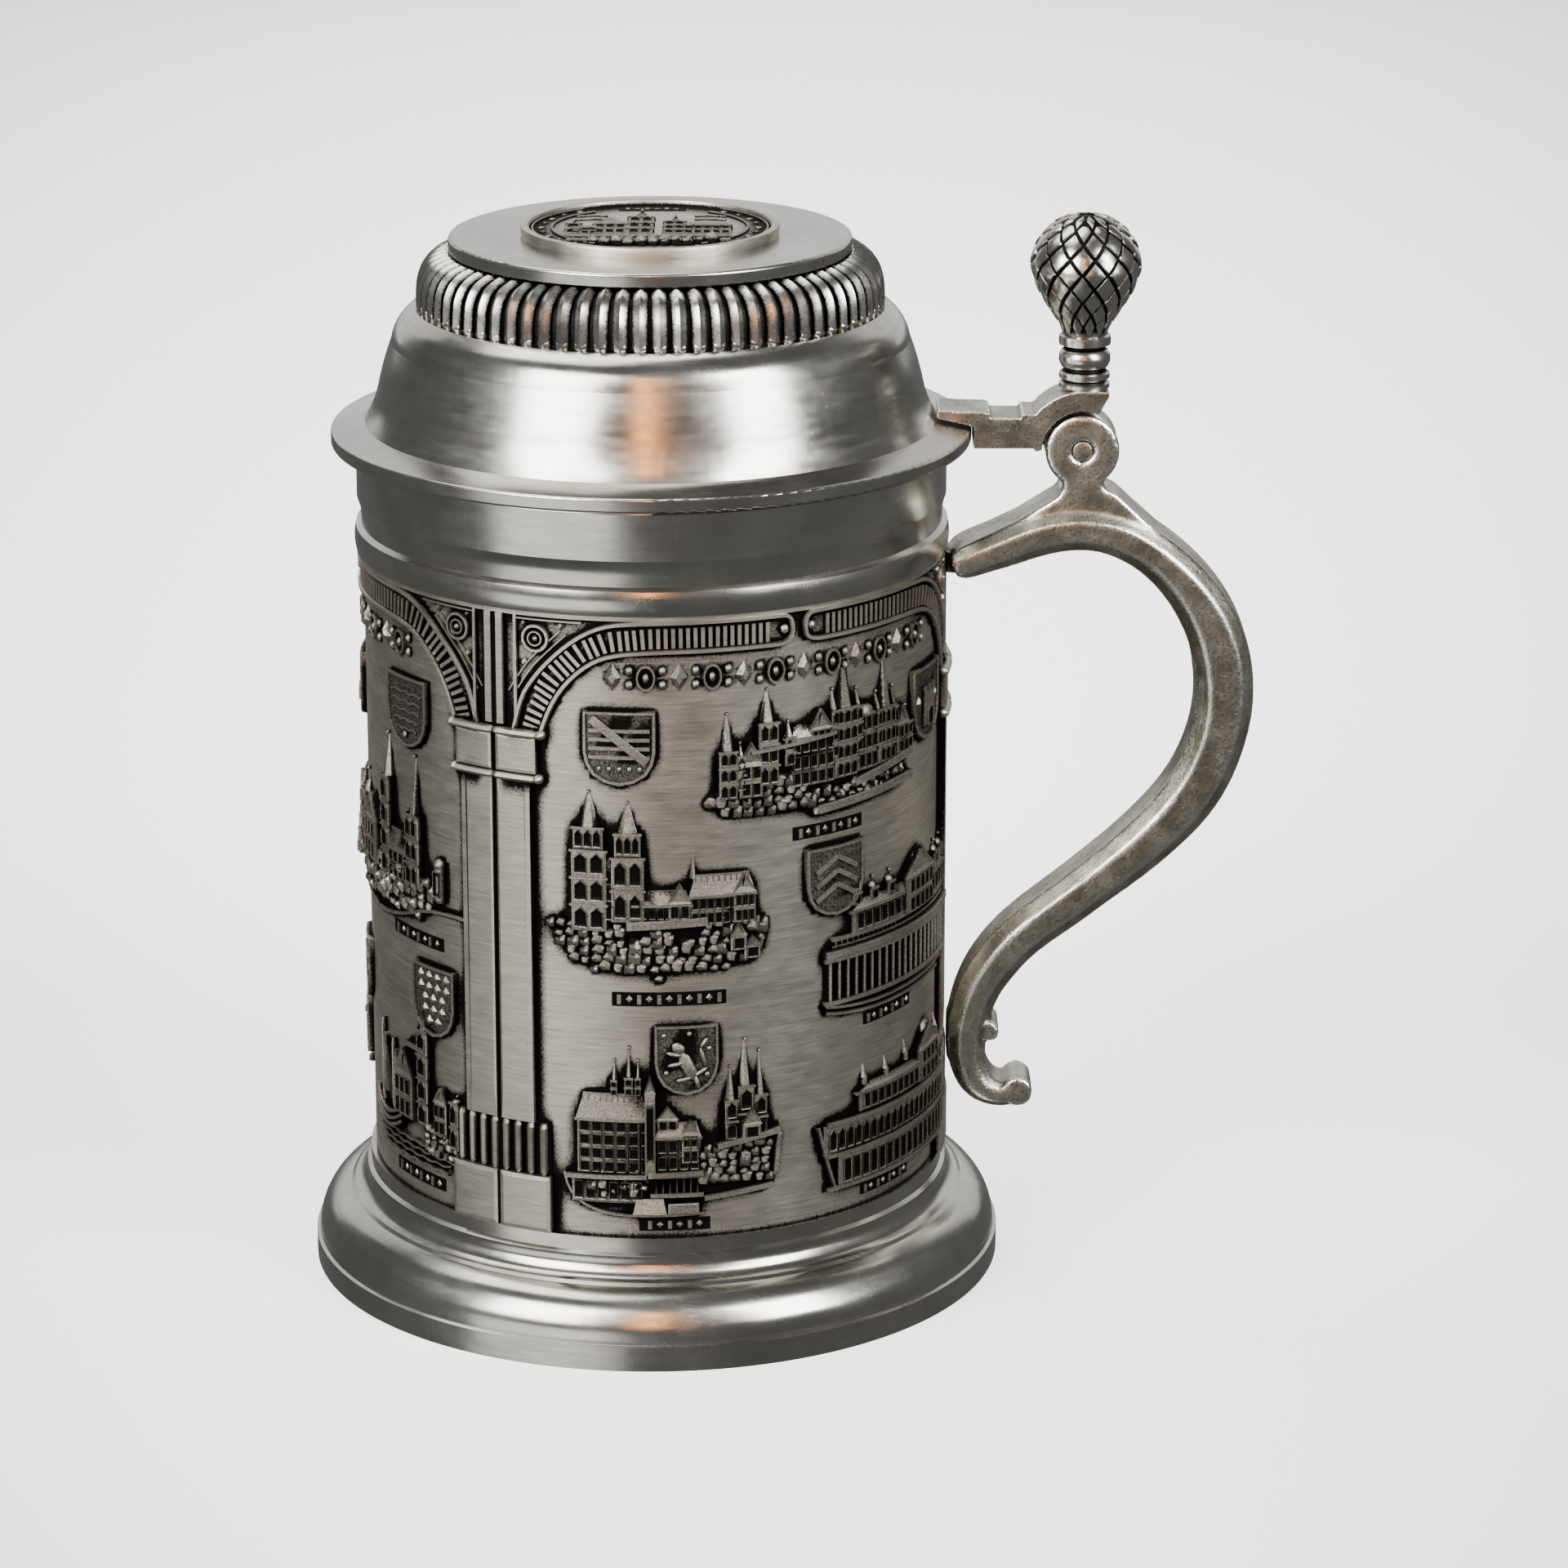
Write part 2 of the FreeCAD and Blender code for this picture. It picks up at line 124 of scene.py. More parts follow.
def place_is_in_mesh(piece):
    """Leaves the object at the origin, unturned and unscaled."""
    only(piece)
    bpy.ops.object.transform_apply(location=True, rotation=True, scale=True)


def join_into(piece, other):
    """Makes the other object part of the piece's mesh."""
    only(piece)
    other.select_set(True)
    bpy.ops.object.join()


def tidy_surface(piece, merge=0.01 * mm, angle=35):
    """Merges doubles, turns faces outwards and shades smooth up to an angle."""
    only(piece)
    bpy.ops.object.mode_set(mode="EDIT")
    bpy.ops.mesh.select_all(action="SELECT")
    bpy.ops.mesh.remove_doubles(threshold=merge)
    bpy.ops.mesh.normals_make_consistent(inside=False)
    bpy.ops.object.mode_set(mode="OBJECT")
    bpy.ops.object.shade_smooth_by_angle(angle=math.radians(angle))


def apply_modifier(piece, kind, **settings):
    only(piece)
    modifier = piece.modifiers.new(kind, kind)
    for key, value in settings.items():
        setattr(modifier, key, value)
    bpy.ops.object.modifier_apply(modifier=modifier.name)


# %% Floor
FLOOR_SIZE, WALL_HEIGHT, PAPER_BEND = 6, 4, 1.2
nothing_selected()
bpy.ops.mesh.primitive_plane_add(size=FLOOR_SIZE, location=(0, 0, 0))
floor = bpy.context.object
floor.name = "floor"
bpy.ops.object.mode_set(mode="EDIT")
bpy.ops.mesh.select_all(action="DESELECT")
bpy.ops.object.mode_set(mode="OBJECT")
for edge in floor.data.edges:
    edge.select = all(floor.data.vertices[index].co.y > FLOOR_SIZE / 2.1 for index in edge.vertices)
bpy.ops.object.mode_set(mode="EDIT")
bpy.ops.mesh.extrude_region_move(TRANSFORM_OT_translate={"value": (0, 0, WALL_HEIGHT)})
bpy.ops.object.mode_set(mode="OBJECT")
apply_modifier(floor, "BEVEL", width=PAPER_BEND, segments=12)
bpy.ops.object.shade_smooth()
floor.visible_glossy = False
paper = bpy.data.materials.new("pale paper")
paper.use_nodes = True
paper_shader = paper.node_tree.nodes["Principled BSDF"]
paper_shader.inputs["Base Color"].default_value = (0.82, 0.82, 0.825, 1)
paper_shader.inputs["Roughness"].default_value = 0.9
# The paper glows by its own emission: a painted pool of light, set further down, that is brightest
# behind the tankard.
paper_shader.inputs["Emission Color"].default_value = (1, 1, 1, 1)
floor.data.materials.append(paper)

# %% Soft boxes
def soft_box(name, place, aim, size, power, colour=(1, 1, 1)):
    light_data = bpy.data.lights.new(name, "AREA")
    light_data.shape = "RECTANGLE"
    light_data.size, light_data.size_y = size
    light_data.energy = power
    light_data.color = colour
    light = bpy.data.objects.new(name, light_data)
    light.location = place
    light.rotation_euler = (Vector(aim) - Vector(place)).to_track_quat("-Z", "Y").to_euler()
    bpy.context.scene.collection.objects.link(light)
    return light


drum_middle = (0, 0, 0.08)
soft_box("left box", (-0.607, -0.723, 0.60), drum_middle, (0.6, 0.75), 12.5)
soft_box("right box", (0.70, -0.62, 0.60), drum_middle, (0.46, 0.75), 10.5)
soft_box("low card", (-0.53, -0.73, -0.19), drum_middle, (0.8, 0.4), 1.3)
soft_box("top box", (-0.25, 0.25, 1.15), drum_middle, (0.9, 0.8), 7)
soft_box("back card", (0.0, 1.15, 0.55), drum_middle, (2.2, 1.0), 5).visible_camera = False
soft_box("warm strip", (-0.02, -1.0, 0.55), drum_middle, (0.035, 0.8), 1.5, (1, 0.42, 0.14))
world = bpy.data.worlds.new("studio")
world.use_nodes = True
world.node_tree.nodes["Background"].inputs["Color"].default_value = (0.80, 0.80, 0.80, 1)
world.node_tree.nodes["Background"].inputs["Strength"].default_value = 0.2
bpy.context.scene.world = world
bpy.context.scene.view_settings.view_transform = "AgX"
bpy.context.scene.view_settings.look = "AgX - Medium High Contrast"

# %% [markdown]
# ## Effects that several finishes share
# Pewter is one metal with several finishes, so the marks of the tools are node groups that
# any finish can use: rings left by the lathe or by brushing, the fine grain of the casting
# sand with its pits and cloudy tarnish, and the hair scratches of use.

# %% Node group helpers
def new_group(name, inputs, outputs):
    """A shader node group with numbers in and out: inputs are (name, value). Gives its
    nodes, the object's own coordinates, and the sockets that come in and go out."""
    group = bpy.data.node_groups.new(name, "ShaderNodeTree")
    kind = "NodeSocketFloat"
    for label, value in inputs:
        socket = group.interface.new_socket(name=label, in_out="INPUT", socket_type=kind)
        socket.default_value = value
    for label in outputs:
        group.interface.new_socket(name=label, in_out="OUTPUT", socket_type=kind)
    nodes = Nodes(group)
    place = nodes.add("ShaderNodeTexCoord").outputs["Object"]
    return nodes, place, nodes.add("NodeGroupInput").outputs, nodes.add("NodeGroupOutput").inputs


class Nodes:
    """Short names for adding and linking nodes in one tree."""

    def __init__(self, tree):
        self.tree = tree

    def add(self, kind, settings=None, **inputs):
        node = self.tree.nodes.new(kind)
        for key, value in (settings or {}).items():
            setattr(node, key, value)
        for key, value in inputs.items():
            self.feed(node, key.replace("_", " "), value)
        return node

    def feed(self, node, key, value):
        """The key is a socket's name, or n and its number."""
        numbered = key[0] == "n" and key[1:].isdigit()
        socket = node.inputs[int(key[1:]) if numbered else key]
        if isinstance(value, bpy.types.NodeSocket):
            self.tree.links.new(value, socket)
        else:
            socket.default_value = value

    def math(self, operation, first, second=0.0, clamp=False):
        settings = {"operation": operation, "use_clamp": clamp}
        return self.add("ShaderNodeMath", settings, n0=first, n1=second).outputs[0]

    def mix(self, share, first, second, blend="MIX"):
        node = self.add("ShaderNodeMix", {"data_type": "RGBA", "blend_type": blend})
        for index, value in ((0, share), (6, first), (7, second)):
            self.feed(node, "n%d" % index, value)
        return node.outputs[2]

    def spread(self, value, low, high, new_low=0.0, new_high=1.0):
        node = self.add("ShaderNodeMapRange")
        for index, item in enumerate((value, low, high, new_low, new_high)):
            self.feed(node, "n%d" % index, item)
        return node.outputs[0]


# %% Painted pool of light: paper that glows brightest behind the tankard
# The painted pool of light on the paper, made by its own emission: the depth where it is
# brightest and how far it reaches (natural logarithm of metres), its half width for each
# metre of depth, and the glow in its middle and outside it.
GLOW_DEPTH, GLOW_REACH, GLOW_WIDTH = 0.2, 0.62, 0.19
GLOW_FAR, GLOW_MOST, GLOW_LEAST = 1.9, 1.2, 0.1


def paint_glow_pool_on_paper(nodes, shader):
    """Painted pool of light: the paper's emission falls off to the sides, near and far, like a
    lamp's.
    """
    place = nodes.add("ShaderNodeTexCoord").outputs["Object"]
    across, along, _ = nodes.add("ShaderNodeSeparateXYZ", None, Vector=place).outputs
    depth = nodes.math("MAXIMUM", nodes.math("SUBTRACT", along, camera.location.y), 0.1)
    near_far = nodes.math("SUBTRACT", nodes.math("LOGARITHM", depth, math.e), GLOW_DEPTH)
    near_far = nodes.math("DIVIDE", near_far, GLOW_REACH)
    sideways = nodes.math("SUBTRACT", across, camera.location.x)
    sideways = nodes.math("DIVIDE", sideways, GLOW_WIDTH)
    sideways = nodes.math("DIVIDE", sideways, depth)
    far_off = nodes.math("ADD", nodes.math("MULTIPLY", near_far, near_far),
                         nodes.math("MULTIPLY", sideways, sideways))
    glow = nodes.spread(far_off, 0.0, GLOW_FAR, GLOW_MOST, GLOW_LEAST)
    # Painted light: the glow drives the paper's emission strength, so the paper shines by itself.
    nodes.tree.links.new(glow, shader.inputs["Emission Strength"])


paint_glow_pool_on_paper(Nodes(paper.node_tree), paper_shader)

# %% Rings left by turning and brushing
def make_ring_marks():
    """Lines that run round the Z axis. Long and thin, finer across than along."""
    nodes, place, inside, outside = new_group(
        "ring marks", [("Lines per mm", 6.0), ("Length", 3.0)], ["Fine", "Broad"])
    across, along, up = nodes.add("ShaderNodeSeparateXYZ", None, Vector=place).outputs
    radius = nodes.math("SQRT", nodes.math("ADD", nodes.math("MULTIPLY", across, across),
                                           nodes.math("MULTIPLY", along, along)))
    safe_radius = nodes.math("MAXIMUM", radius, 0.0001)
    per_metre = nodes.math("MULTIPLY", inside["Lines per mm"], 1000)
    inverse_length = nodes.math("DIVIDE", 12, inside["Length"])
    round_x = nodes.math("MULTIPLY", nodes.math("DIVIDE", across, safe_radius), inverse_length)
    round_y = nodes.math("MULTIPLY", nodes.math("DIVIDE", along, safe_radius), inverse_length)
    height = nodes.math("MULTIPLY", up, per_metre)
    outwards = nodes.math("MULTIPLY", radius, per_metre)
    vector = nodes.add("ShaderNodeCombineXYZ", None, X=round_x, Y=round_y, Z=height).outputs[0]
    fine = nodes.add("ShaderNodeTexNoise", {"noise_dimensions": "4D"}, Vector=vector, W=outwards,
                     Scale=1.0, Detail=3.0, Roughness=0.7)
    slow_height = nodes.math("MULTIPLY", height, 0.12)
    slow = nodes.add("ShaderNodeCombineXYZ", None, X=round_x, Y=round_y, Z=slow_height).outputs[0]
    slow_out = nodes.math("MULTIPLY", outwards, 0.12)
    broad = nodes.add("ShaderNodeTexNoise", {"noise_dimensions": "4D"}, Vector=slow, W=slow_out,
                      Scale=1.0, Detail=2.0, Roughness=0.6)
    for name, node in (("Fine", fine), ("Broad", broad)):
        nodes.tree.links.new(node.outputs[0], outside[name])
    return nodes.tree


# %% Grain of the mould, and cloudy tarnish
def make_cast_grain():
    nodes, place, inside, outside = new_group(
        "cast grain", [("Grain size mm", 0.3), ("Cloud size mm", 6.0)], ["Grain", "Cloud", "Pits"])
    grain_scale = nodes.math("DIVIDE", 1000, inside["Grain size mm"])
    cloud_scale = nodes.math("DIVIDE", 1000, inside["Cloud size mm"])
    grain = nodes.add("ShaderNodeTexNoise", None, Vector=place, Scale=grain_scale, Detail=4.0,
                      Roughness=0.65)
    cloud = nodes.add("ShaderNodeTexNoise", None, Vector=place, Scale=cloud_scale, Detail=5.0,
                      Roughness=0.6)
    cells = nodes.add("ShaderNodeTexVoronoi", None, Vector=place,
                      Scale=nodes.math("MULTIPLY", grain_scale, 0.35))
    pits = nodes.spread(cells.outputs["Distance"], 0.0, 0.22, 1.0, 0.0)
    for name, value in (("Grain", grain.outputs[0]), ("Cloud", cloud.outputs[0]), ("Pits", pits)):
        nodes.tree.links.new(value, outside[name])
    return nodes.tree


# %% Hair scratches from use
def make_hair_scratches():
    """Two crossing sets of thin straight scratches, thinned out by a noise."""
    nodes, place, inside, outside = new_group(
        "hair scratches", [("Spacing mm", 4.0)], ["Scratches"])
    scale = nodes.math("DIVIDE", 1000, inside["Spacing mm"])
    total = None
    for turn in ((0.5, 0.9, 0.3), (-0.7, 0.2, 1.1)):
        turned_place = nodes.add("ShaderNodeMapping", None, Vector=place, Rotation=turn,
                                 Scale=(1, 14, 1))
        lines = nodes.add("ShaderNodeTexNoise", None, Vector=turned_place.outputs[0], Scale=scale,
                          Detail=2.0, Roughness=0.5)
        thin = nodes.spread(nodes.math("ABSOLUTE", nodes.math("SUBTRACT", lines.outputs[0], 0.5)),
                            0, 0.012, 1, 0)
        total = thin if total is None else nodes.math("MAXIMUM", total, thin)
    where = nodes.add("ShaderNodeTexNoise", None, Vector=place,
                      Scale=nodes.math("MULTIPLY", scale, 0.4), Detail=1.0)
    patches = nodes.spread(where.outputs[0], 0.5, 0.62)
    nodes.tree.links.new(nodes.math("MULTIPLY", total, patches), outside["Scratches"])
    return nodes.tree


RING_MARKS = make_ring_marks()
CAST_GRAIN = make_cast_grain()
HAIR_SCRATCHES = make_hair_scratches()

# %% [markdown]
# ## Finishes
# Every finish is the same metal: a Principled shader at full Metallic. What differs is how
# bright the tin shows, how wide it scatters light, and what the tools left on it. Black
# patina stays in hollows when the high parts are rubbed bright. A mesh says where its
# hollows are with the attribute "hollow", which is 1 deep in a hollow and 0 in the open.

# %% Finish helpers
def new_finish(name, anisotropic=0.0):
    material = bpy.data.materials.new(name)
    material.use_nodes = True
    nodes = Nodes(material.node_tree)
    shader = material.node_tree.nodes["Principled BSDF"]
    shader.inputs["Metallic"].default_value = 1.0
    shader.inputs["Anisotropic"].default_value = anisotropic
    return material, nodes, shader


def use_group(nodes, group, **values):
    node = nodes.tree.nodes.new("ShaderNodeGroup")
    node.node_tree = group
    for key, value in values.items():
        node.inputs[key.replace("_", " ")].default_value = value
    return node


def connect(nodes, shader, colour, rough, height, depth_mm, strength):
    """Colour, roughness and a bump of the height, depth_mm deep, go into the shader."""
    bump = nodes.add("ShaderNodeBump", None, Height=height, Strength=strength,
                     Distance=depth_mm * mm)
    for name, value in (("Base Color", colour), ("Roughness", rough), ("Normal", bump.outputs[0])):
        nodes.tree.links.new(value, shader.inputs[name])


def stored(nodes, name):
    """A value that the mesh carries at each vertex."""
    return nodes.add("ShaderNodeAttribute", {"attribute_name": name}).outputs["Fac"]


# %% Turned pewter
def turned_finish(name, bright, dull, low_rough, high_rough):
    material, nodes, shader = new_finish(name, anisotropic=0.45)
    rings = use_group(nodes, RING_MARKS, Lines_per_mm=7.0, Length=2.0)
    grain = use_group(nodes, CAST_GRAIN, Grain_size_mm=0.25, Cloud_size_mm=14.0)
    hair = use_group(nodes, HAIR_SCRATCHES, Spacing_mm=5.0)
    cloud = nodes.spread(grain.outputs["Cloud"], 0.3, 0.75)
    tone = nodes.mix(cloud, dull, bright)
    streak = nodes.spread(rings.outputs["Fine"], 0.3, 0.7, 0.0, 0.5)
    colour = nodes.mix(streak, tone, dull)
    band = nodes.spread(rings.outputs["Broad"], 0.35, 0.65, 0.0, 0.4)
    colour = nodes.mix(band, colour, dull)
    rough = nodes.spread(rings.outputs["Broad"], 0.3, 0.7, low_rough, high_rough)
    rough = nodes.math("ADD", rough, nodes.math("MULTIPLY", hair.outputs[0], 0.05))
    rough = nodes.math("ADD", rough, nodes.math("MULTIPLY", cloud, 0.05), clamp=True)
    height = nodes.math("SUBTRACT", rings.outputs["Fine"],
                        nodes.math("MULTIPLY", hair.outputs[0], 0.2))
    connect(nodes, shader, colour, rough, height, 0.004, 0.5)
    return material


TURNED = turned_finish("turned pewter", (0.66, 0.65, 0.62, 1), (0.43, 0.42, 0.39, 1), 0.16, 0.24)

# %% Cast pewter of the handle
def cast_finish(name, bright, dull, rough_range):
    material, nodes, shader = new_finish(name)
    grain = use_group(nodes, CAST_GRAIN, Grain_size_mm=0.45, Cloud_size_mm=5.0)
    hair = use_group(nodes, HAIR_SCRATCHES, Spacing_mm=6.0)
    cloud = nodes.spread(grain.outputs["Cloud"], 0.38, 0.64)
    speckle = nodes.spread(grain.outputs["Grain"], 0.4, 0.62)
    colour = nodes.mix(cloud, dull, bright)
    colour = nodes.mix(nodes.math("MULTIPLY", speckle, 0.45), colour, bright)
    colour = nodes.mix(nodes.math("MULTIPLY", grain.outputs["Pits"], 0.45), colour,
                       (0.10, 0.095, 0.07, 1))
    wear = stored(nodes, "wear")
    hollow = stored(nodes, "hollow")
    rubbed = nodes.math("ADD", wear, nodes.math("MULTIPLY", grain.outputs["Grain"], 0.3))
    rubbed = nodes.spread(rubbed, 0.3, 0.95)
    colour = nodes.mix(rubbed, colour, (0.88, 0.87, 0.82, 1))
    colour = nodes.mix(nodes.spread(hollow, 0.15, 0.8), colour, (0.045, 0.04, 0.03, 1))
    rough = nodes.spread(speckle, 0, 1, rough_range[1], rough_range[0])
    rough = nodes.math("SUBTRACT", rough, nodes.math("MULTIPLY", rubbed, 0.14), clamp=True)
    height = nodes.math("SUBTRACT", grain.outputs["Grain"],
                        nodes.math("MULTIPLY", grain.outputs["Pits"], 0.7))
    height = nodes.math("SUBTRACT", height, nodes.math("MULTIPLY", hair.outputs[0], 0.3))
    connect(nodes, shader, colour, rough, height, 0.09, 0.6)
    return material


CAST = cast_finish("cast pewter", (0.52, 0.505, 0.435, 1), (0.24, 0.23, 0.19, 1), (0.26, 0.42))

# %% Pewter with black in its hollows
def patinated_finish(name, bright, dull, black, rough_low, rough_high, lines_per_mm):
    """Black where the attribute "hollow" is high, with a ragged edge."""
    material, nodes, shader = new_finish(name)
    rings = use_group(nodes, RING_MARKS, Lines_per_mm=lines_per_mm, Length=1.3)
    grain = use_group(nodes, CAST_GRAIN, Grain_size_mm=0.3, Cloud_size_mm=9.0)
    hollow = stored(nodes, "hollow")
    ragged = nodes.spread(grain.outputs["Grain"], 0.3, 0.7, -0.12, 0.12)
    deep = nodes.math("ADD", hollow, ragged)
    patina = nodes.spread(deep, 0.22, 0.62)
    streak = nodes.spread(rings.outputs["Fine"], 0.32, 0.68)
    cloud = nodes.spread(grain.outputs["Cloud"], 0.35, 0.7)
    open_tone = nodes.mix(streak, dull, bright)
    open_tone = nodes.mix(nodes.math("MULTIPLY", cloud, 0.35), open_tone, dull)
    colour = nodes.mix(patina, open_tone, black)
    rough = nodes.spread(rings.outputs["Broad"], 0.3, 0.7, rough_low, rough_high)
    rough = nodes.math("ADD", rough, nodes.math("MULTIPLY", patina, 0.25), clamp=True)
    height = nodes.math("MULTIPLY", grain.outputs["Grain"], 0.8)
    height = nodes.math("ADD", rings.outputs["Fine"], height)
    connect(nodes, shader, colour, rough, height, 0.02, 0.5)
    return material


BLACK_PATINA = (0.018, 0.017, 0.016, 1)
RELIEF = patinated_finish(
    "relief pewter", (0.60, 0.58, 0.52, 1), (0.38, 0.36, 0.315, 1), BLACK_PATINA, 0.40, 0.50,
    4.0)
RIBBED = patinated_finish(
    "ribbed pewter", (0.58, 0.57, 0.54, 1), (0.46, 0.45, 0.42, 1), BLACK_PATINA, 0.20, 0.30, 5.0)

# %% Giving a finish to a piece
def give(piece, material):
    piece.data.materials.clear()
    piece.data.materials.append(material)


# %% [markdown]
# ## Carved shapes for the drum
# The drum is cast from a carved mould: towns, shields and borders stand about a millimetre
# proud of a brushed field. A carver cuts a few simple forms again and again, so each form
# is modelled once at unit size with edit-mode operators (x from -0.5 to 0.5, z from 0 to 1,
# and 1 deep towards the viewer) and then copied to its place with its own width, height
# and depth. Drawing the pattern flat first keeps every place a plain pair of numbers.

# %% Picking parts of a mesh by place
def pick(piece, kind, test):
    """Selects VERT, EDGE or FACE parts whose place passes the test, and enters edit mode."""
    bpy.ops.object.mode_set(mode="EDIT")
    bpy.ops.mesh.select_mode(type=kind)
    bpy.ops.mesh.select_all(action="DESELECT")
    bpy.ops.object.mode_set(mode="OBJECT")
    mesh = piece.data
    if kind == "FACE":
        for face in mesh.polygons:
            face.select = bool(test(face.center, face.normal))
    elif kind == "EDGE":
        for edge in mesh.edges:
            edge.select = bool(test(*(mesh.vertices[index].co for index in edge.vertices)))
    else:
        for corner in mesh.vertices:
            corner.select = bool(test(corner.co))
    bpy.ops.object.mode_set(mode="EDIT")


def move_picked(**change):
    """Moves (move=...) or scales (size=..., about=...) what is picked, then leaves edit mode."""
    if "move" in change:
        bpy.ops.transform.translate(value=change["move"])
    if "size" in change:
        bpy.ops.transform.resize(value=change["size"], center_override=change["about"])
    bpy.ops.object.mode_set(mode="OBJECT")


# %% Unit shapes: block, bar, gable, roof and windows
SHAPES = {}


def added(primitive_add, **settings):
    """Runs one of the primitive operators and leaves its place and turn in the mesh."""
    nothing_selected()
    primitive_add(**settings)
    place_is_in_mesh(bpy.context.object)
    return bpy.context.object


def unit_cube():
    return added(bpy.ops.mesh.primitive_cube_add, size=1, location=(0, -0.5, 0.5))


def keep_shape(name, piece, black=lambda place: False):
    """Stores the shape. black(place) says how much black a spot keeps, whatever stands
    around it: 0 is none, 1 is all. It is stored as the attribute "hollow"."""
    tidy_surface(piece, 0.0001, 30)
    mesh = piece.data.copy()
    hollow = mesh.attributes.new("hollow", "FLOAT", "POINT")
    for index, corner in enumerate(mesh.vertices):
        hollow.data[index].value = float(black(corner.co))
    SHAPES[name] = mesh
    bpy.data.objects.remove(piece)


keep_shape("bar", unit_cube())
keep_shape("dark bar", unit_cube(), lambda place: True)

block = unit_cube()
pick(block, "EDGE", lambda start, end: start.y < -0.9 and end.y < -0.9)
bpy.ops.mesh.bevel(offset=0.07, segments=1)
bpy.ops.object.mode_set(mode="OBJECT")
keep_shape("block", block)

gable = unit_cube()
pick(gable, "VERT", lambda place: place.z > 0.9)
move_picked(size=(0.03, 1, 1), about=(0, 0, 1))
pick(gable, "FACE", lambda middle, normal: normal.y < -0.9)
bpy.ops.mesh.inset(thickness=0.11)
move_picked(move=(0, 0.22, 0))
keep_shape("gable", gable)

roof = unit_cube()
pick(roof, "VERT", lambda place: place.z > 0.9)
move_picked(size=(0.8, 1, 1), about=(0, 0, 1))
pick(roof, "VERT", lambda place: place.z > 0.9 and place.y < -0.9)
move_picked(move=(0, 0.45, 0))
keep_shape("roof", roof)

window = unit_cube()
pick(window, "FACE", lambda middle, normal: normal.y < -0.9)
bpy.ops.mesh.inset(thickness=0.2)
move_picked(move=(0, 0.9, 0))
keep_shape("window", window, lambda place: -0.5 < place.y < 0 and abs(place.x) < 0.4)

arch = unit_cube()
pick(arch, "EDGE", lambda start, end: min(start.z, end.z) > 0.9 and abs(start.x - end.x) > 0.5)
bpy.ops.mesh.subdivide(number_cuts=1)
bpy.ops.object.mode_set(mode="OBJECT")
pick(arch, "VERT", lambda place: place.z > 0.9 and abs(place.x) > 0.4)
move_picked(move=(0, 0, -0.25))
pick(arch, "FACE", lambda middle, normal: normal.y < -0.9)
bpy.ops.mesh.inset(thickness=0.18)
move_picked(move=(0, 0.9, 0))
keep_shape("arch", arch, lambda place: -0.5 < place.y < 0 and abs(place.x) < 0.4)

# %% Unit shapes: spire, pillar, dome, bead, crown of a tree, lozenge and ring
def half_sunk(name, piece, turn=0.0, low=-0.75):
    """For round forms: the middle lies in the plate and the front half stands 1 proud.
    Black stays on the flanks, from the depth low on."""
    pick(piece, "VERT", lambda place: True)
    bpy.ops.transform.rotate(value=turn, orient_axis="Z", center_override=(0, 0, 0))
    move_picked(size=(1, 2, 1), about=(0, 0, 0))
    place_is_in_mesh(piece)
    keep_shape(name, piece, lambda place: min(max((place.y - low) * 1.6, 0), 1))


spire = added(bpy.ops.mesh.primitive_cone_add, vertices=8, radius1=0.5, radius2=0.06, depth=1,
              location=(0, 0, 0.5))
half_sunk("spire", spire, TURN / 16, low=1)

pillar = added(bpy.ops.mesh.primitive_cylinder_add, vertices=10, radius=0.5, depth=1,
               location=(0, 0, 0.5))
pick(pillar, "FACE", lambda middle, normal: abs(normal.z) > 0.9)
bpy.ops.mesh.bevel(offset=0.08, segments=1)
bpy.ops.object.mode_set(mode="OBJECT")
half_sunk("pillar", pillar)

dome = added(bpy.ops.mesh.primitive_uv_sphere_add, segments=12, ring_count=8, radius=0.5)
pick(dome, "VERT", lambda place: True)
bpy.ops.mesh.bisect(plane_co=(0, 0, 0), plane_no=(0, 0, 1), clear_inner=True, use_fill=True)
move_picked(size=(1, 1, 1.8), about=(0, 0, 0))
pick(dome, "VERT", lambda place: place.z > 0.85)
move_picked(move=(0, 0, 0.12))
half_sunk("dome", dome, low=1)


def unit_ball():
    return added(bpy.ops.mesh.primitive_ico_sphere_add, subdivisions=2, radius=0.5,
                 location=(0, 0, 0.5))


half_sunk("bead", unit_ball())

for number in range(3):
    crown = unit_ball()
    pick(crown, "VERT", lambda place: True)
    bpy.ops.transform.vertex_random(offset=0.17, seed=number + 3)
    bpy.ops.object.mode_set(mode="OBJECT")
    half_sunk("crown %d" % number, crown, low=-0.95)

lozenge = added(bpy.ops.mesh.primitive_cone_add, vertices=4, radius1=0.5, radius2=0.2, depth=1,
                location=(0, -0.5, 0.5), rotation=(TURN / 4, 0, 0))
keep_shape("lozenge", lozenge)

ring = added(bpy.ops.mesh.primitive_torus_add, major_segments=20, minor_segments=6,
             major_radius=0.42, minor_radius=0.08, location=(0, 0, 0.5),
             rotation=(TURN / 4, 0, 0))
pick(ring, "VERT", lambda place: True)
move_picked(size=(1, 12, 1), about=(0, 0, 0))
keep_shape("ring", ring)
print("carved shapes:", ", ".join(
    "%s %d" % (name, len(mesh.polygons)) for name, mesh in SHAPES.items()))

# %% [markdown]
# ## Shields
# A shield is a flat slab with a raised rim. The outline is a curve, so the slab is that
# curve filled and given thickness, and the rim is the same curve as a round tube. Both
# become one mesh. What stands on each shield is an invented charge.

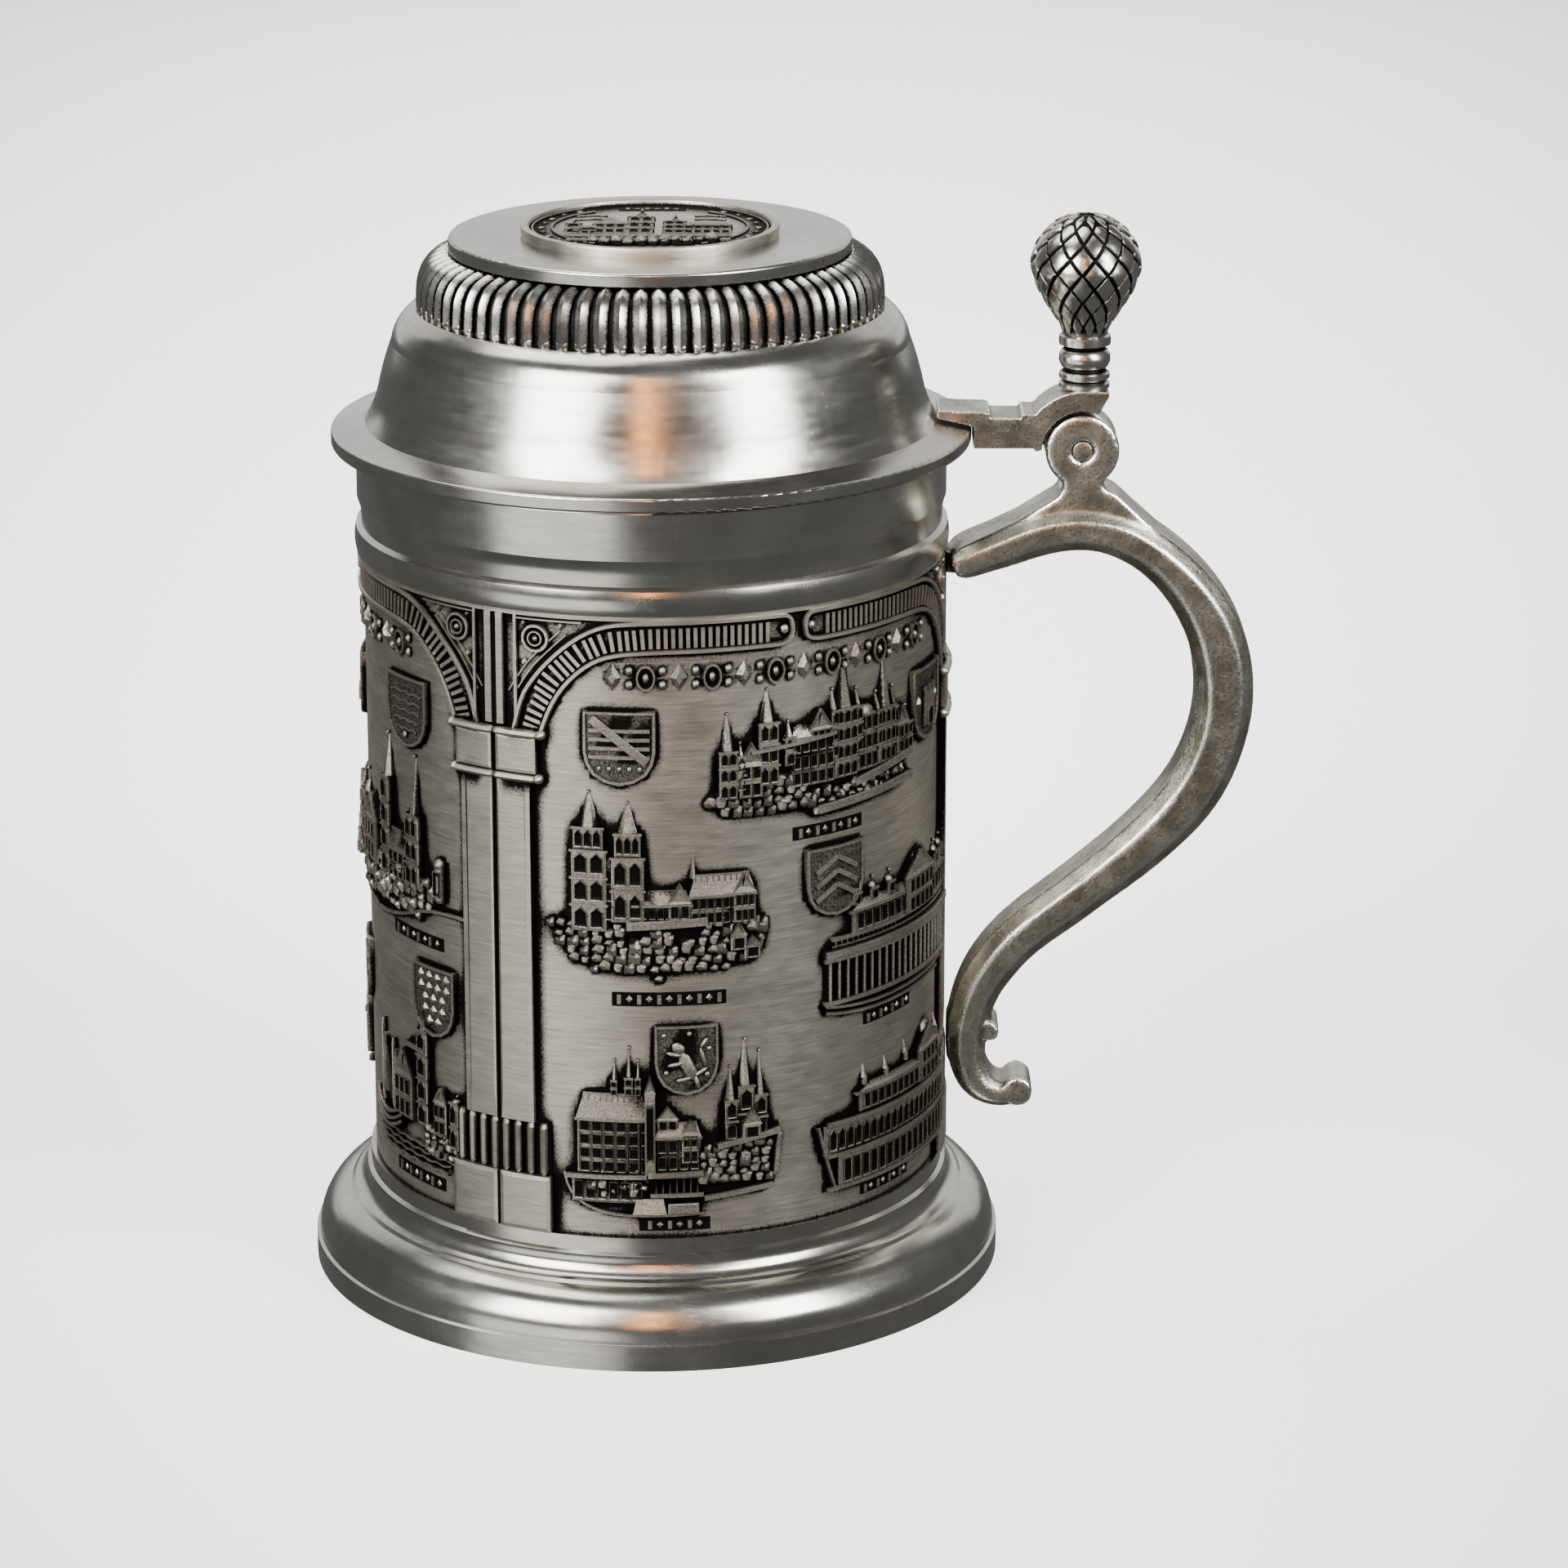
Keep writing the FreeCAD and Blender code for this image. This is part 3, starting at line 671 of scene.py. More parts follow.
# %% Curves made into mesh
def curve_mesh(points, closed, radius=0.0, filled=0.0, smooth=False):
    """A tube along points (x, z), or with filled a flat slab that thick. Lies in the plate."""
    data = bpy.data.curves.new("outline", "CURVE")
    data.dimensions = "2D" if filled else "3D"
    data.fill_mode = "BOTH" if filled else "FULL"
    data.extrude = filled / 2
    data.bevel_depth = radius
    data.bevel_resolution = 1
    data.resolution_u = 3
    line = data.splines.new("NURBS" if smooth else "POLY")
    line.points.add(len(points) - 1)
    for point, (across, up) in zip(line.points, points):
        point.co = (across, up, 0, 1)
    line.use_cyclic_u = closed
    if smooth:
        line.order_u = 3
        line.use_endpoint_u = True
    piece = bpy.data.objects.new("outline", data)
    piece.rotation_euler = (TURN / 4, 0, 0)
    bpy.context.scene.collection.objects.link(piece)
    only(piece)
    bpy.ops.object.convert(target="MESH")
    piece = bpy.context.object
    place_is_in_mesh(piece)
    return piece


shield_edge = [(-0.5, 1), (0.5, 1), (0.5, 0.45), (0.46, 0.28), (0.37, 0.14), (0.2, 0.04), (0, 0),
               (-0.2, 0.04), (-0.37, 0.14), (-0.46, 0.28), (-0.5, 0.45)]
slab = curve_mesh(shield_edge, True, filled=1.2)
rim = curve_mesh([(x * 0.95, 0.02 + z * 0.96) for x, z in shield_edge], True, radius=0.042)
pick(rim, "VERT", lambda place: True)
move_picked(size=(1, 26, 1), about=(0, 0, 0))
join_into(slab, rim)
keep_shape("shield", slab, lambda place: 0.52 if -0.61 < place.y < -0.59 else 0)

# %% [markdown]
# ## The flat plate
# A plate is one third of the drum, rolled flat: a fine grid with the carving stood on it.
# Places are in millimetres, x from the plate's middle and z above the table.

# %% The plate as a pattern
class Plate:
    """Collects carving for one plate of the drum, drawn flat."""

    def __init__(self):
        self.carving = bmesh.new()
        self.chance = random.Random(7)
        self.stain = 0.0
        self.shift = (0, 0)

    def add_mesh(self, mesh, change):
        """Adds a transformed copy; stain is the least "hollow" value it gets."""
        copy = mesh.copy()
        copy.transform(change)
        values = np.empty(len(copy.vertices))
        copy.attributes["hollow"].data.foreach_get("value", values)
        copy.attributes["hollow"].data.foreach_set("value", np.maximum(values, self.stain))
        self.carving.from_mesh(copy)
        bpy.data.meshes.remove(copy)

    def place(self, shape, x, z, width, height, depth, lift=0.0, lean=0.0):
        """x is the middle of the foot, z its height; lift stands it on top of something."""
        x, z = x + self.shift[0], z + self.shift[1]
        spot = Matrix.Translation((x * mm, -lift * mm, z * mm))
        turn = Matrix.Rotation(math.radians(lean), 4, "Y")
        size = Matrix.Diagonal((width * mm, depth * mm, height * mm, 1))
        self.add_mesh(SHAPES[shape], spot @ turn @ size)

    def beam(self, start, end, thick, depth, shape="bar", lift=0.0):
        run = (end[0] - start[0], end[1] - start[1])
        self.place(shape, *start, thick, math.hypot(*run), depth, lift,
                   math.degrees(math.atan2(*run)))

    def rail(self, points, width, depth, smooth=True):
        """A round moulding along points."""
        right, up = self.shift
        places = [((x + right) * mm, (z + up) * mm) for x, z in points]
        tube = curve_mesh(places, False, width / 2 * mm, smooth=smooth)
        tube.data.attributes.new("hollow", "FLOAT", "POINT")
        self.add_mesh(tube.data, Matrix.Diagonal((1, 2 * depth / width, 1, 1)))
        bpy.data.objects.remove(tube)

    def windows(self, x, z, width, height, across, rows, lift, shape="window"):
        wide, high = width / across, height / rows
        for column in range(across):
            for row in range(rows):
                self.place(shape, x + (column + 0.5 - across / 2) * wide, z + (row + 0.14) * high,
                           wide * 0.74, high * 0.74, 0.3, lift)

    def tower(self, x, z, width, height, spire=0.0, floors=2, across=2, depth=1.1, top="spire",
              slim=0.85):
        self.place("block", x, z, width, height, depth)
        for floor in range(floors):
            self.place("bar", x, z + height * (floor + 1) / floors - 0.35, width * 1.1, 0.35,
                       depth + 0.22)
        self.windows(x, z, width * 0.92, height, across, floors, depth, "arch")
        if spire:
            self.place(top, x, z + height, width * slim, spire, depth)
            self.place("bead", x, z + height + spire - 0.4, 0.5, 0.6, 0.6)

    def hall(self, x, z, width, height, roof, across, rows=1, depth=1.0, shape="window"):
        self.place("block", x, z, width, height, depth)
        self.windows(x, z, width * 0.96, height, across, rows, depth, shape)
        if roof:
            self.place("roof", x, z + height, width * 1.04, roof, depth + 0.25)
            self.place("bar", x, z + height - 0.2, width * 1.06, 0.4, depth + 0.35)
            self.place("bar", x, z + height + roof - 0.2, width * 0.85, 0.35, depth * 0.75)
            for number in range(int(width / 0.9)):
                across_roof = x + (number + 0.5 - int(width / 0.9) / 2) * 0.85
                self.place("bar", across_roof, z + height + 0.2, 0.16, roof * 0.9, depth * 0.85)

    def house(self, x, z, width, height, gable, depth=1.0, across=2, rows=1):
        self.place("block", x, z, width, height, depth)
        self.windows(x, z, width * 0.9, height, across, rows, depth)
        self.place("gable", x, z + height, width * 1.1, gable, depth + 0.15)

    def colonnade(self, start, end, z, height, count, depth=1.0, thick=0.55):
        """Pillars between a base and a beam, with black behind them."""
        middle, width = (start + end) / 2, end - start
        self.place("dark bar", middle, z, width, height, 0.12)
        for foot in (z - 0.3, z + height - 0.3):
            self.place("block", middle, foot, width + 0.6, 0.65, depth + 0.25)
        for number in range(count):
            self.place("pillar", start + width * (number + 0.5) / count, z, thick, height, depth)

    def grove(self, start, end, low, high, size):
        """Tree crowns between two lines low(x) and high(x)."""
        z = min(low(start), low(end), low((start + end) / 2))
        top = max(high(start + (end - start) * share / 8) for share in range(9))
        while z < top:
            x = start + self.chance.uniform(0, size * 0.5)
            while x < end:
                if low(x) <= z <= high(x):
                    wide = size * self.chance.uniform(0.75, 1.25)
                    self.place("crown %d" % self.chance.randrange(3), x, z, wide,
                               wide * self.chance.uniform(0.9, 1.3), self.chance.uniform(0.8, 1.4))
                x += size * self.chance.uniform(0.7, 0.95)
            z += size * 0.62

    def ribbon(self, x, z, width, height):
        """A black strip with a row of small lozenges."""
        self.place("dark bar", x, z, width, height, 0.1)
        count = int(width / 1.5)
        for number in range(count):
            across = x + (number + 0.5 - count / 2) * 1.45
            shape = "lozenge" if number % 2 else "bar"
            self.place(shape, across, z + height * 0.16, 1.25 if number % 2 else 0.6, height * 0.68,
                       0.3)


# %% Charges that the shields carry
def shield(plate, x, z, width, height, charge):
    plate.place("shield", x, z, width, height, 0.95)
    top, lift = z + height, 0.55
    inner = width * 0.84
    if charge == "bend":
        for row in range(4):
            plate.place("bar", x, z + height * (0.36 + 0.12 * row), inner, height * 0.05, 0.3, lift)
        plate.beam((x - inner * 0.45, top - 1), (x + inner * 0.45, z + height * 0.32), 1.3, 0.5,
                   "block", lift)
        for number in range(5):
            plate.place("bead", x + (number - 2) * width * 0.14, z + height * 0.17, 0.8, 1.1, 0.4,
                        lift)
    elif charge == "chevrons":
        for row in range(3):
            peak = z + height * (0.45 + 0.2 * row)
            for side in (-1, 1):
                plate.beam((x + side * inner * 0.42, peak - height * 0.2), (x, peak), 0.75, 0.45,
                           "bar", lift)
    elif charge == "lozenges":
        for row in range(5):
            for number in range(4 - row // 2):
                plate.place("lozenge", x + (number - 1.5 + row // 2 * 0.5) * width * 0.2,
                            top - height * (0.22 + 0.16 * row), width * 0.18, height * 0.15, 0.4,
                            lift)
    elif charge == "keep":
        plate.place("block", x, z + height * 0.2, width * 0.4, height * 0.45, 0.5, lift)
        for side in (-1, 0, 1):
            plate.place("bar", x + side * width * 0.15, z + height * 0.62, width * 0.1,
                        height * 0.12, 0.5, lift)
        plate.place("arch", x, z + height * 0.2, width * 0.18, height * 0.26, 0.3, lift + 0.5)
        for side in (-1, 1):
            plate.place("lozenge", x + side * width * 0.31, z + height * 0.45, 1.3, 2.0, 0.4, lift)
    elif charge == "waves":
        for row in range(5):
            level = z + height * (0.26 + 0.13 * row)
            reach = inner * (0.32 + 0.045 * min(row, 3))
            wave = [(x - reach + 2 * reach * step / 6, level + (0.3 if step % 2 else -0.3))
                    for step in range(7)]
            plate.rail(wave, 0.5, 0.95)
        plate.place("bead", x, z + height * 0.12, 1.2, 1.2, 0.6, lift)
    else:
        def limb(start, end, thick):
            """A long bead between two points of the shield, in shares of its width and height."""
            plate.beam((x + start[0] * width, z + start[1] * height),
                       (x + end[0] * width, z + end[1] * height), thick * width, 0.6, "bead", lift)

        limb((0.14, 0.18), (-0.1, 0.64), 0.25)
        limb((-0.02, 0.62), (-0.24, 0.74), 0.2)
        for start, end in (((-0.04, 0.56), (-0.34, 0.62)), ((0.0, 0.48), (-0.32, 0.42)),
                           ((0.12, 0.26), (-0.2, 0.2)), ((0.12, 0.3), (0.2, 0.06)),
                           ((0.1, 0.26), (0.34, 0.4)), ((0.32, 0.36), (0.2, 0.7)),
                           ((0.2, 0.66), (0.34, 0.84))):
            limb(start, end, 0.09)
        for side, up in ((-0.38, 0.28), (-0.42, 0.82), (0.42, 0.62), (0.38, 0.25), (0.05, 0.84)):
            plate.place("bead", x + side * inner, z + up * height, 0.9, 0.9, 0.45, lift)


# %% [markdown]
# ## The border of a plate
# Every plate has the same frame: half a pilaster at each seam, on a fluted base, with two
# round bars for a capital, and from there an arch of two rails with a ladder of small bars
# between them. The arch leaves a corner for a ring of leaves under the top edge. Where two
# plates meet, a narrow black gap is left.

# %% Border
def border(plate):
    edge = PLATE_ARC / mm / 2
    arch_out = [
        (-42.0, 92.8), (-40.9, 98), (-39.1, 101), (-36.7, 104), (-32.8, 107.6), (-28.8, 109.8),
        (-24.8, 110.3), (-16, 110.4), (-3.4, 110.4), (-1.4, 110.3), (-0.9, 108.3),
        (-1.4, 106.3), (-3.4, 106.2)]
    arch_in = [
        (-37.9, 92.8), (-36.9, 96.2), (-34.4, 100.7), (-30.8, 104.1), (-27.5, 105.6),
        (-22.2, 106.1), (-14, 106.2), (-3.2, 106.2)]
    plate.place("block", 0, 110.6, 2 * edge, 0.8, 0.6)
    for side in (-1, 1):
        def at(distance):
            """x at a distance in from the seam."""
            return side * (edge - distance)

        plate.place("dark bar", at(0.22), 17.4, 0.42, 93, 0.5)
        plate.place("block", at(2.7), 34.2, 4.6, 52.4, 1.15)
        plate.place("block", at(5.3), 34.2, 0.8, 52.4, 1.25)
        plate.place("block", at(3.5), 87.4, 6.2, 5.4, 1.3)
        plate.place("block", at(4.2), 17.5, 7.9, 8.6, 1.6)
        plate.place("dark bar", at(4.1), 26, 7.7, 8.3, 0.25)
        for distance in (0.95, 2.95, 4.95, 6.95):
            plate.place("pillar", at(distance), 26, 1.35, 8.1, 1.35)
        for height, reach in ((93.2, 7.3), (86.6, 6.9)):
            plate.beam((at(0.1), height), (at(reach), height), 1.5, 1.9, "pillar")
            plate.place("bead", at(reach), height - 0.85, 1.8, 1.8, 2.0)
        plate.place("block", at(0.95), 94.2, 1.1, 16.4, 0.9)
        plate.place("block", at(3.4), 94.2, 0.45, 16.4, 0.7)
        plate.rail([(side * -x, z) for x, z in arch_out], 0.95, 1.05)
        plate.rail([(side * -x, z) for x, z in arch_in], 0.95, 1.05)
        plate.rail([(side * x, z) for x, z in ((41.4, 94.6), (41.4, 110.2), (31.5, 110.2))], 0.5,
                   0.8, False)
        for shift in (1.1, 2.0):
            plate.rail([(side * (-x + shift * 0.9), z + shift * 0.6) for x, z in arch_out[1:5]],
                       0.35, 0.5)
        plate.place("ring", side * 38.4, 105.2, 4.4, 4.4, 0.9)
        plate.place("ring", side * 38.4, 106.2, 2.4, 2.4, 1.0)
        plate.place("bead", side * 38.4, 106.9, 1.0, 1.0, 1.1)
        for x, z, size in ((40.2, 102.9, 1.3), (34.6, 108.8, 1.2), (40.2, 109.0, 0.9)):
            plate.place("lozenge", side * x, z, size, size * 1.3, 0.7)
        ladder_step(plate, side, arch_in, arch_out)
        plate.place("bead", side * 2.2, 107.5, 1.5, 1.6, 0.9)


def walk(points, spacing):
    """Points at equal steps along a line of points."""
    found, carry = [], 0.0
    for start, end in zip(points, points[1:]):
        length = math.dist(start, end)
        while carry < length:
            share = carry / length
            found.append((start[0] + (end[0] - start[0]) * share,
                          start[1] + (end[1] - start[1]) * share))
            carry += spacing
        carry -= length
    return found


def ladder_step(plate, side, inner, outer):
    """Small bars across the arch band, at right angles to its inner rail."""
    steps = walk(inner, 1.05)
    for before, here, after in zip(steps, steps[1:], steps[2:]):
        run = Vector((after[0] - before[0], after[1] - before[1])).normalized()
        start = (here[0] - run.y * 0.5, here[1] + run.x * 0.5)
        reach = 3.4 if here[0] > -36 else 2.9
        end = (here[0] - run.y * reach, here[1] + run.x * reach)
        plate.beam((-side * start[0], start[1]), (-side * end[0], end[1]), 0.55, 0.55)


def frieze(plate, start, end, z, height):
    """An ornament run under the arch: lozenge, two beads, ring, two beads."""
    count = int((end - start) / 2.3)
    for number in range(count):
        x = start + (number + 0.5) * (end - start) / count
        if number % 4 == 0:
            plate.place("lozenge", x, z, 2.6, height, 0.75)
        elif number % 4 == 2:
            plate.place("ring", x, z, 2.9, height, 0.75)
            plate.place("bead", x, z + height * 0.3, 1.1, height * 0.4, 0.8)
        else:
            for up in (0.06, 0.56):
                plate.place("bead", x, z + height * up, 1.3, height * 0.38, 0.75)


# %% [markdown]
# ## Town views
# The towns are invented: towers, halls, gables and trees put together by width and height,
# from the left to the right of each view. A plate draws with a shift, so that the back and
# the left plate carry the same views in another order.

# %% Church above a bowl of trees
def church_view(plate):
    plate.tower(-30.7, 64.6, 5.0, 12.2, 0, 3, 2, 1.25)
    plate.tower(-30.8, 76.8, 4.3, 3.4, 5.1, 1, 3, 1.15, "spire", 0.75)
    plate.tower(-25.2, 66.0, 4.6, 9.8, 0, 2, 2, 1.15)
    plate.tower(-25.2, 75.8, 3.7, 3.6, 4.4, 1, 3, 1.05, "spire", 0.8)
    plate.house(-27.9, 66, 2.4, 5.6, 4.0, 0.95, 1, 2)
    plate.hall(-20.6, 66.2, 8.6, 2.3, 2.1, 7, 1, 0.9, "arch")
    plate.house(-17.9, 66.2, 3.2, 2.6, 3.0, 1.1, 2)
    plate.hall(-11.8, 65.4, 9.4, 4.3, 3.1, 8, 2, 1.0)
    plate.house(-8.6, 65.4, 3.2, 4.6, 2.8, 1.2, 3, 2)
    plate.place("spire", -15.9, 72.4, 1.1, 4.2, 1.0)
    plate.beam((-25.4, 65.4), (-14, 66), 1.3, 1.35, "block")
    plate.grove(-37.4, -2, lambda x: 56.6 + ((x + 20.5) / 17) ** 4 * 8,
                lambda x: 64.4 + 1.2 * math.cos(x * 0.9) - (1.8 if -26 < x < -14 else 0), 2.0925)
    plate.house(-9.6, 61.4, 2.3, 2.2, 2.0, 1.7, 1)
    plate.house(-7.6, 60.0, 2.4, 2.0, 1.5, 1.7, 1)


# %% Castle with many turrets
def castle_view(plate):
    for x, z, width, height, spire, floors, across in (
            (-10.9, 84, 2.6, 7.2, 5.4, 3, 2), (-9.0, 85, 1.3, 5.4, 1.8, 2, 1),
            (-4.9, 85.5, 3.0, 9.4, 4.8, 3, 2), (-1.6, 88, 1.6, 4.4, 2.2, 2, 1),
            (8.0, 84.8, 4.2, 10.4, 6.6, 4, 3), (5.9, 88, 1.2, 7.2, 3.0, 3, 1),
            (10.4, 88, 1.2, 7.0, 2.6, 3, 1), (16.4, 85.2, 3.8, 8.4, 7.0, 3, 3),
            (14.6, 88, 1.1, 5.6, 2.6, 2, 1), (18.4, 88, 1.1, 5.2, 3.0, 2, 1),
            (22.0, 85.8, 1.8, 4.2, 2.4, 2, 1)):
        plate.tower(x, z, width, height, spire, floors, across)
    plate.house(-7.6, 84, 3.4, 5.0, 3.3, 1.2, 2, 2)
    plate.hall(2.2, 84.6, 7.2, 7.2, 1.6, 5, 3, 1.0)
    plate.house(3.4, 91.4, 3.6, 1.4, 3.0, 1.15, 3)
    plate.place("dome", -1.9, 91.8, 2.0, 1.8, 1.0)
    plate.place("dome", 0.2, 93.0, 1.8, 1.6, 1.0)
    plate.hall(12.4, 85, 4.0, 8.4, 0, 3, 3, 0.9)
    plate.place("dome", 12.4, 93.4, 3.4, 2.6, 1.1)
    plate.house(20.4, 85.6, 3.0, 4.4, 2.8, 1.1, 2, 2)
    plate.beam((-7.6, 90.7), (6, 91.9), 0.6, 1.5, "block")
    plate.beam((9.6, 83.6), (22.8, 85.6), 1.2, 1.4, "block")
    plate.beam((3, 80.7), (22.8, 81.9), 1.3, 1.4, "block")
    plate.grove(-13.6, 21, lambda x: 79.6 + ((x - 3) / 18) ** 4 * 3,
                lambda x: 82.6 + 3.6 * math.exp(-((x + 3) / 3.2) ** 2)
                + 1.4 * math.exp(-((x + 9.5) / 2.5) ** 2), 2.025)


# %% Walled town with three spires
def town_view(plate):
    plate.hall(-27.3, 27.4, 11.0, 8.3, 3.9, 6, 4, 0.9)
    for number in range(7):
        plate.place("pillar", -32.4 + number * 1.7, 27.4, 0.5, 8.3, 1.3)
    plate.house(-22.3, 27.4, 1.5, 12.6, 2.8, 1.5, 1, 1)
    for x, z, width, height, spire in ((-25.3, 39.6, 1.2, 2.8, 4.4), (-27.4, 39.6, 0.9, 2.4, 2.8),
                                       (-24.0, 39.6, 0.8, 2.8, 2.4), (-10.6, 32, 1.9, 6.4, 5.0),
                                       (-8.4, 32, 2.4, 8.4, 7.0), (-6.2, 32.2, 1.9, 6.6, 6.6)):
        plate.tower(x, z, width, height, spire, 2, 1)
    plate.hall(-18.3, 27.8, 6.4, 5.2, 2.2, 4, 2, 1.0)
    plate.house(-19.8, 34, 3.0, 1.8, 2.0, 0.9, 2)
    plate.house(-16.6, 29, 2.4, 4.6, 2.2, 1.2, 2, 2)
    plate.house(-7.7, 32.2, 2.7, 2.2, 2.8, 1.6, 1)
    plate.beam((-12.7, 31.5), (-3.4, 33), 0.9, 1.7, "block")
    plate.beam((-4, 26), (-3.4, 32.6), 0.6, 1.4, "block")
    plate.grove(-15, -4.4, lambda x: 25, lambda x: 30.6, 2.025)
    plate.beam((-14.6, 23.5), (-4.4, 24.6), 0.8, 1.4, "block")
    plate.beam((-34.4, 26.9), (-22.8, 27.1), 0.7, 1.6, "block")
    plate.beam((-22.6, 27.3), (-14.8, 27.6), 0.8, 1.7, "block")
    plate.hall(-28.4, 22.8, 10.6, 3.8, 0, 6, 1, 0.8)
    plate.grove(-31, -22.8, lambda x: 22.2 + abs(x + 26.8) * 0.5,
                lambda x: 26.4 + 0.8 * math.cos((x + 24.6) * 1.2), 1.8225)
    plate.colonnade(-22, -15, 24.0, 3.0, 7, 0.8, 0.4)
    plate.place("roof", -22.4, 21.3, 4.8, 2.2, 1.5)
    plate.place("block", -17.6, 21.2, 4.4, 1.6, 1.3)
    plate.rail([(-34.9, 27.2), (-34.4, 23.8), (-30, 21.2),
                (-24, 20.6), (-14.6, 21.0)], 0.7, 0.8)


# %% Long front with columns and a balustrade
def colonnade_view(plate):
    plate.colonnade(4.5, 39, 50.6, 6.6, 21, 1.1, 0.7)
    plate.place("block", 21.8, 57.6, 35, 1.1, 1.6)
    plate.colonnade(6, 38, 58.9, 1.3, 30, 0.7, 0.4)
    plate.hall(24, 60.4, 29, 3.4, 1.4, 16, 1, 0.8)
    plate.house(26, 60.2, 9, 5.6, 3.4, 1.3, 5, 2)
    plate.place("dome", 26, 67, 4.4, 4.2, 1.0)
    for x in (10.4, 14, 18, 34, 37.5):
        plate.tower(x, 64.6, 1.6, 2.0, 1.6, 1, 1, 0.8, "dome", 1.0)
    for level, reach in ((49.6, 36.0), (48.6, 34.0)):
        plate.rail([(4.4, level + 0.6), (8, level - 0.2), (20, level - 0.6),
                    (reach, level)], 0.8, 1.2)


# %% Palace with two rows of windows
def palace_view(plate):
    plate.hall(22.6, 27.0, 37, 4.6, 0, 22, 1, 1.0, "arch")
    plate.hall(23.8, 21.6, 34, 5.0, 0, 18, 1, 1.0)
    for level in (21.4, 26.6, 31.5):
        plate.place("block", 22.9, level, 36.5, 0.6, 1.45)
    plate.hall(26, 32.4, 30, 3.0, 1.0, 18, 1, 0.9)
    plate.house(30, 32.4, 8, 5.0, 3.2, 1.2, 4, 2)
    plate.place("dome", 30, 39.6, 3.4, 3.2, 0.9)
    for x, z in ((12.4, 36.2), (17.4, 36.2), (22.8, 37), (36, 37)):
        plate.place("pillar", x, z, 1.3, 1.2, 0.8)
        plate.place("spire", x, z + 1, 1.2, 2.2, 0.8)
    plate.rail([(3.2, 31.8), (4.6, 26), (6.4, 21.2)], 0.7, 1.3)


# %% Harbour with a ship and a crane tower
def harbour_view(plate):
    plate.tower(36.6, 27, 1.6, 7.6, 0.8, 2, 1, 1.2, "dome", 1.0)
    plate.tower(29.6, 29, 2.4, 15, 6.0, 4, 1, 1.1)
    plate.place("bar", 27.6, 40.6, 5.4, 0.6, 1.3)
    plate.house(24.4, 29, 5.0, 6.6, 4.2, 1.1, 3, 2)
    plate.house(33.6, 28.6, 2.6, 5.0, 2.4, 1.1, 2, 2)
    for x, height in ((16.5, 13), (20.5, 11)):
        plate.beam((x, 29), (x, 29 + height), 0.45, 0.9, "pillar")
        plate.place("gable", x + 1.2, 31, 2.6, height * 0.7, 0.9)
    for level in (28.6, 27.5, 26.5):
        plate.rail([(13.5, level + 2), (16, level - 0.4), (20, level - 0.8),
                    (23.6, level + 1.4)], 0.9, 1.2)
    for row in range(4):
        wave = [(12.5 + row + step * 1.6, 25.6 - row * 0.95 + (0.28 if step % 2 else -0.28))
                for step in range(16 - row)]
        plate.rail(wave, 0.5, 0.7)
    plate.grove(30, 38, lambda x: 24.6, lambda x: 28, 1.755)


# %% Spires over gardens
def garden_view(plate):
    plate.tower(20.4, 66, 2.6, 15, 6.6, 4, 1, 1.2)
    plate.tower(28.3, 66, 3.2, 11, 8.8, 3, 2, 1.2, "spire", 0.7)
    plate.hall(24.4, 66, 6.0, 4.4, 3.0, 4, 2, 1.0)
    plate.house(13.4, 66.4, 5.6, 6.0, 4.0, 1.1, 3, 2)
    plate.tower(9.4, 66.4, 2.2, 9, 3.6, 3, 1, 1.1, "dome", 1.0)
    plate.place("pillar", 33.8, 64.7, 2.3, 5.8, 1.1)
    plate.place("bead", 33.8, 69.4, 2.4, 2.2, 1.3)
    plate.place("window", 33.8, 65.6, 1.3, 4.0, 0.3, 1.0)
    plate.grove(6, 32, lambda x: 59.6 + ((x - 19) / 14) ** 4 * 4, lambda x: 66.4, 2.16)
    plate.rail([(6, 63), (12, 58.8), (24, 60.2), (32, 63.6),
                (39.2, 63.2)], 0.9, 0.9)


# %% What each plate carries
FRIEZE = (-28.4, 28.4, 100.1875, 4.125)
front_plate = {
    "views": ((church_view, 0, 0), (castle_view, 0, 0), (town_view, 0, 0), (colonnade_view, 0, 0),
              (palace_view, 0, 0)),
    "shields": ((-26.3, 86.4, 10.3, 10.9, "bend"), (6.5, 64.0, 10.4, 10.6, "chevrons"),
                (-17.0, 39.5, 9.2, 10.6, "beast"), (29.3, 85.4, 10.6, 11.2, "keep")),
    "ribbons": ((-19.4, 53.0, 16.6, 2.1), (5.6, 76.3, 12.6, 2.0), (-18.8, 18.3, 10.4, 1.9),
                (18.5, 45.4, 12.0, 1.9), (18.0, 18.8, 12.0, 1.8)),
}
left_plate = {
    "views": ((garden_view, 0, 0), (harbour_view, 0, 0), (church_view, 8, 3), (town_view, 2, 4)),
    "shields": ((26.6, 86.9, 10.3, 10.6, "waves"), (32.0, 43.6, 9.4, 10.8, "lozenges"),
                (-1.5, 84.5, 9.8, 10.4, "keep"), (4.0, 41.5, 9.0, 10.0, "chevrons")),
    "ribbons": ((27.5, 57.0, 13.0, 2.0), (27.0, 19.4, 13.0, 2.0), (-14.0, 54.4, 13.0, 2.0),
                (-16.0, 20.4, 12.0, 2.0)),
}
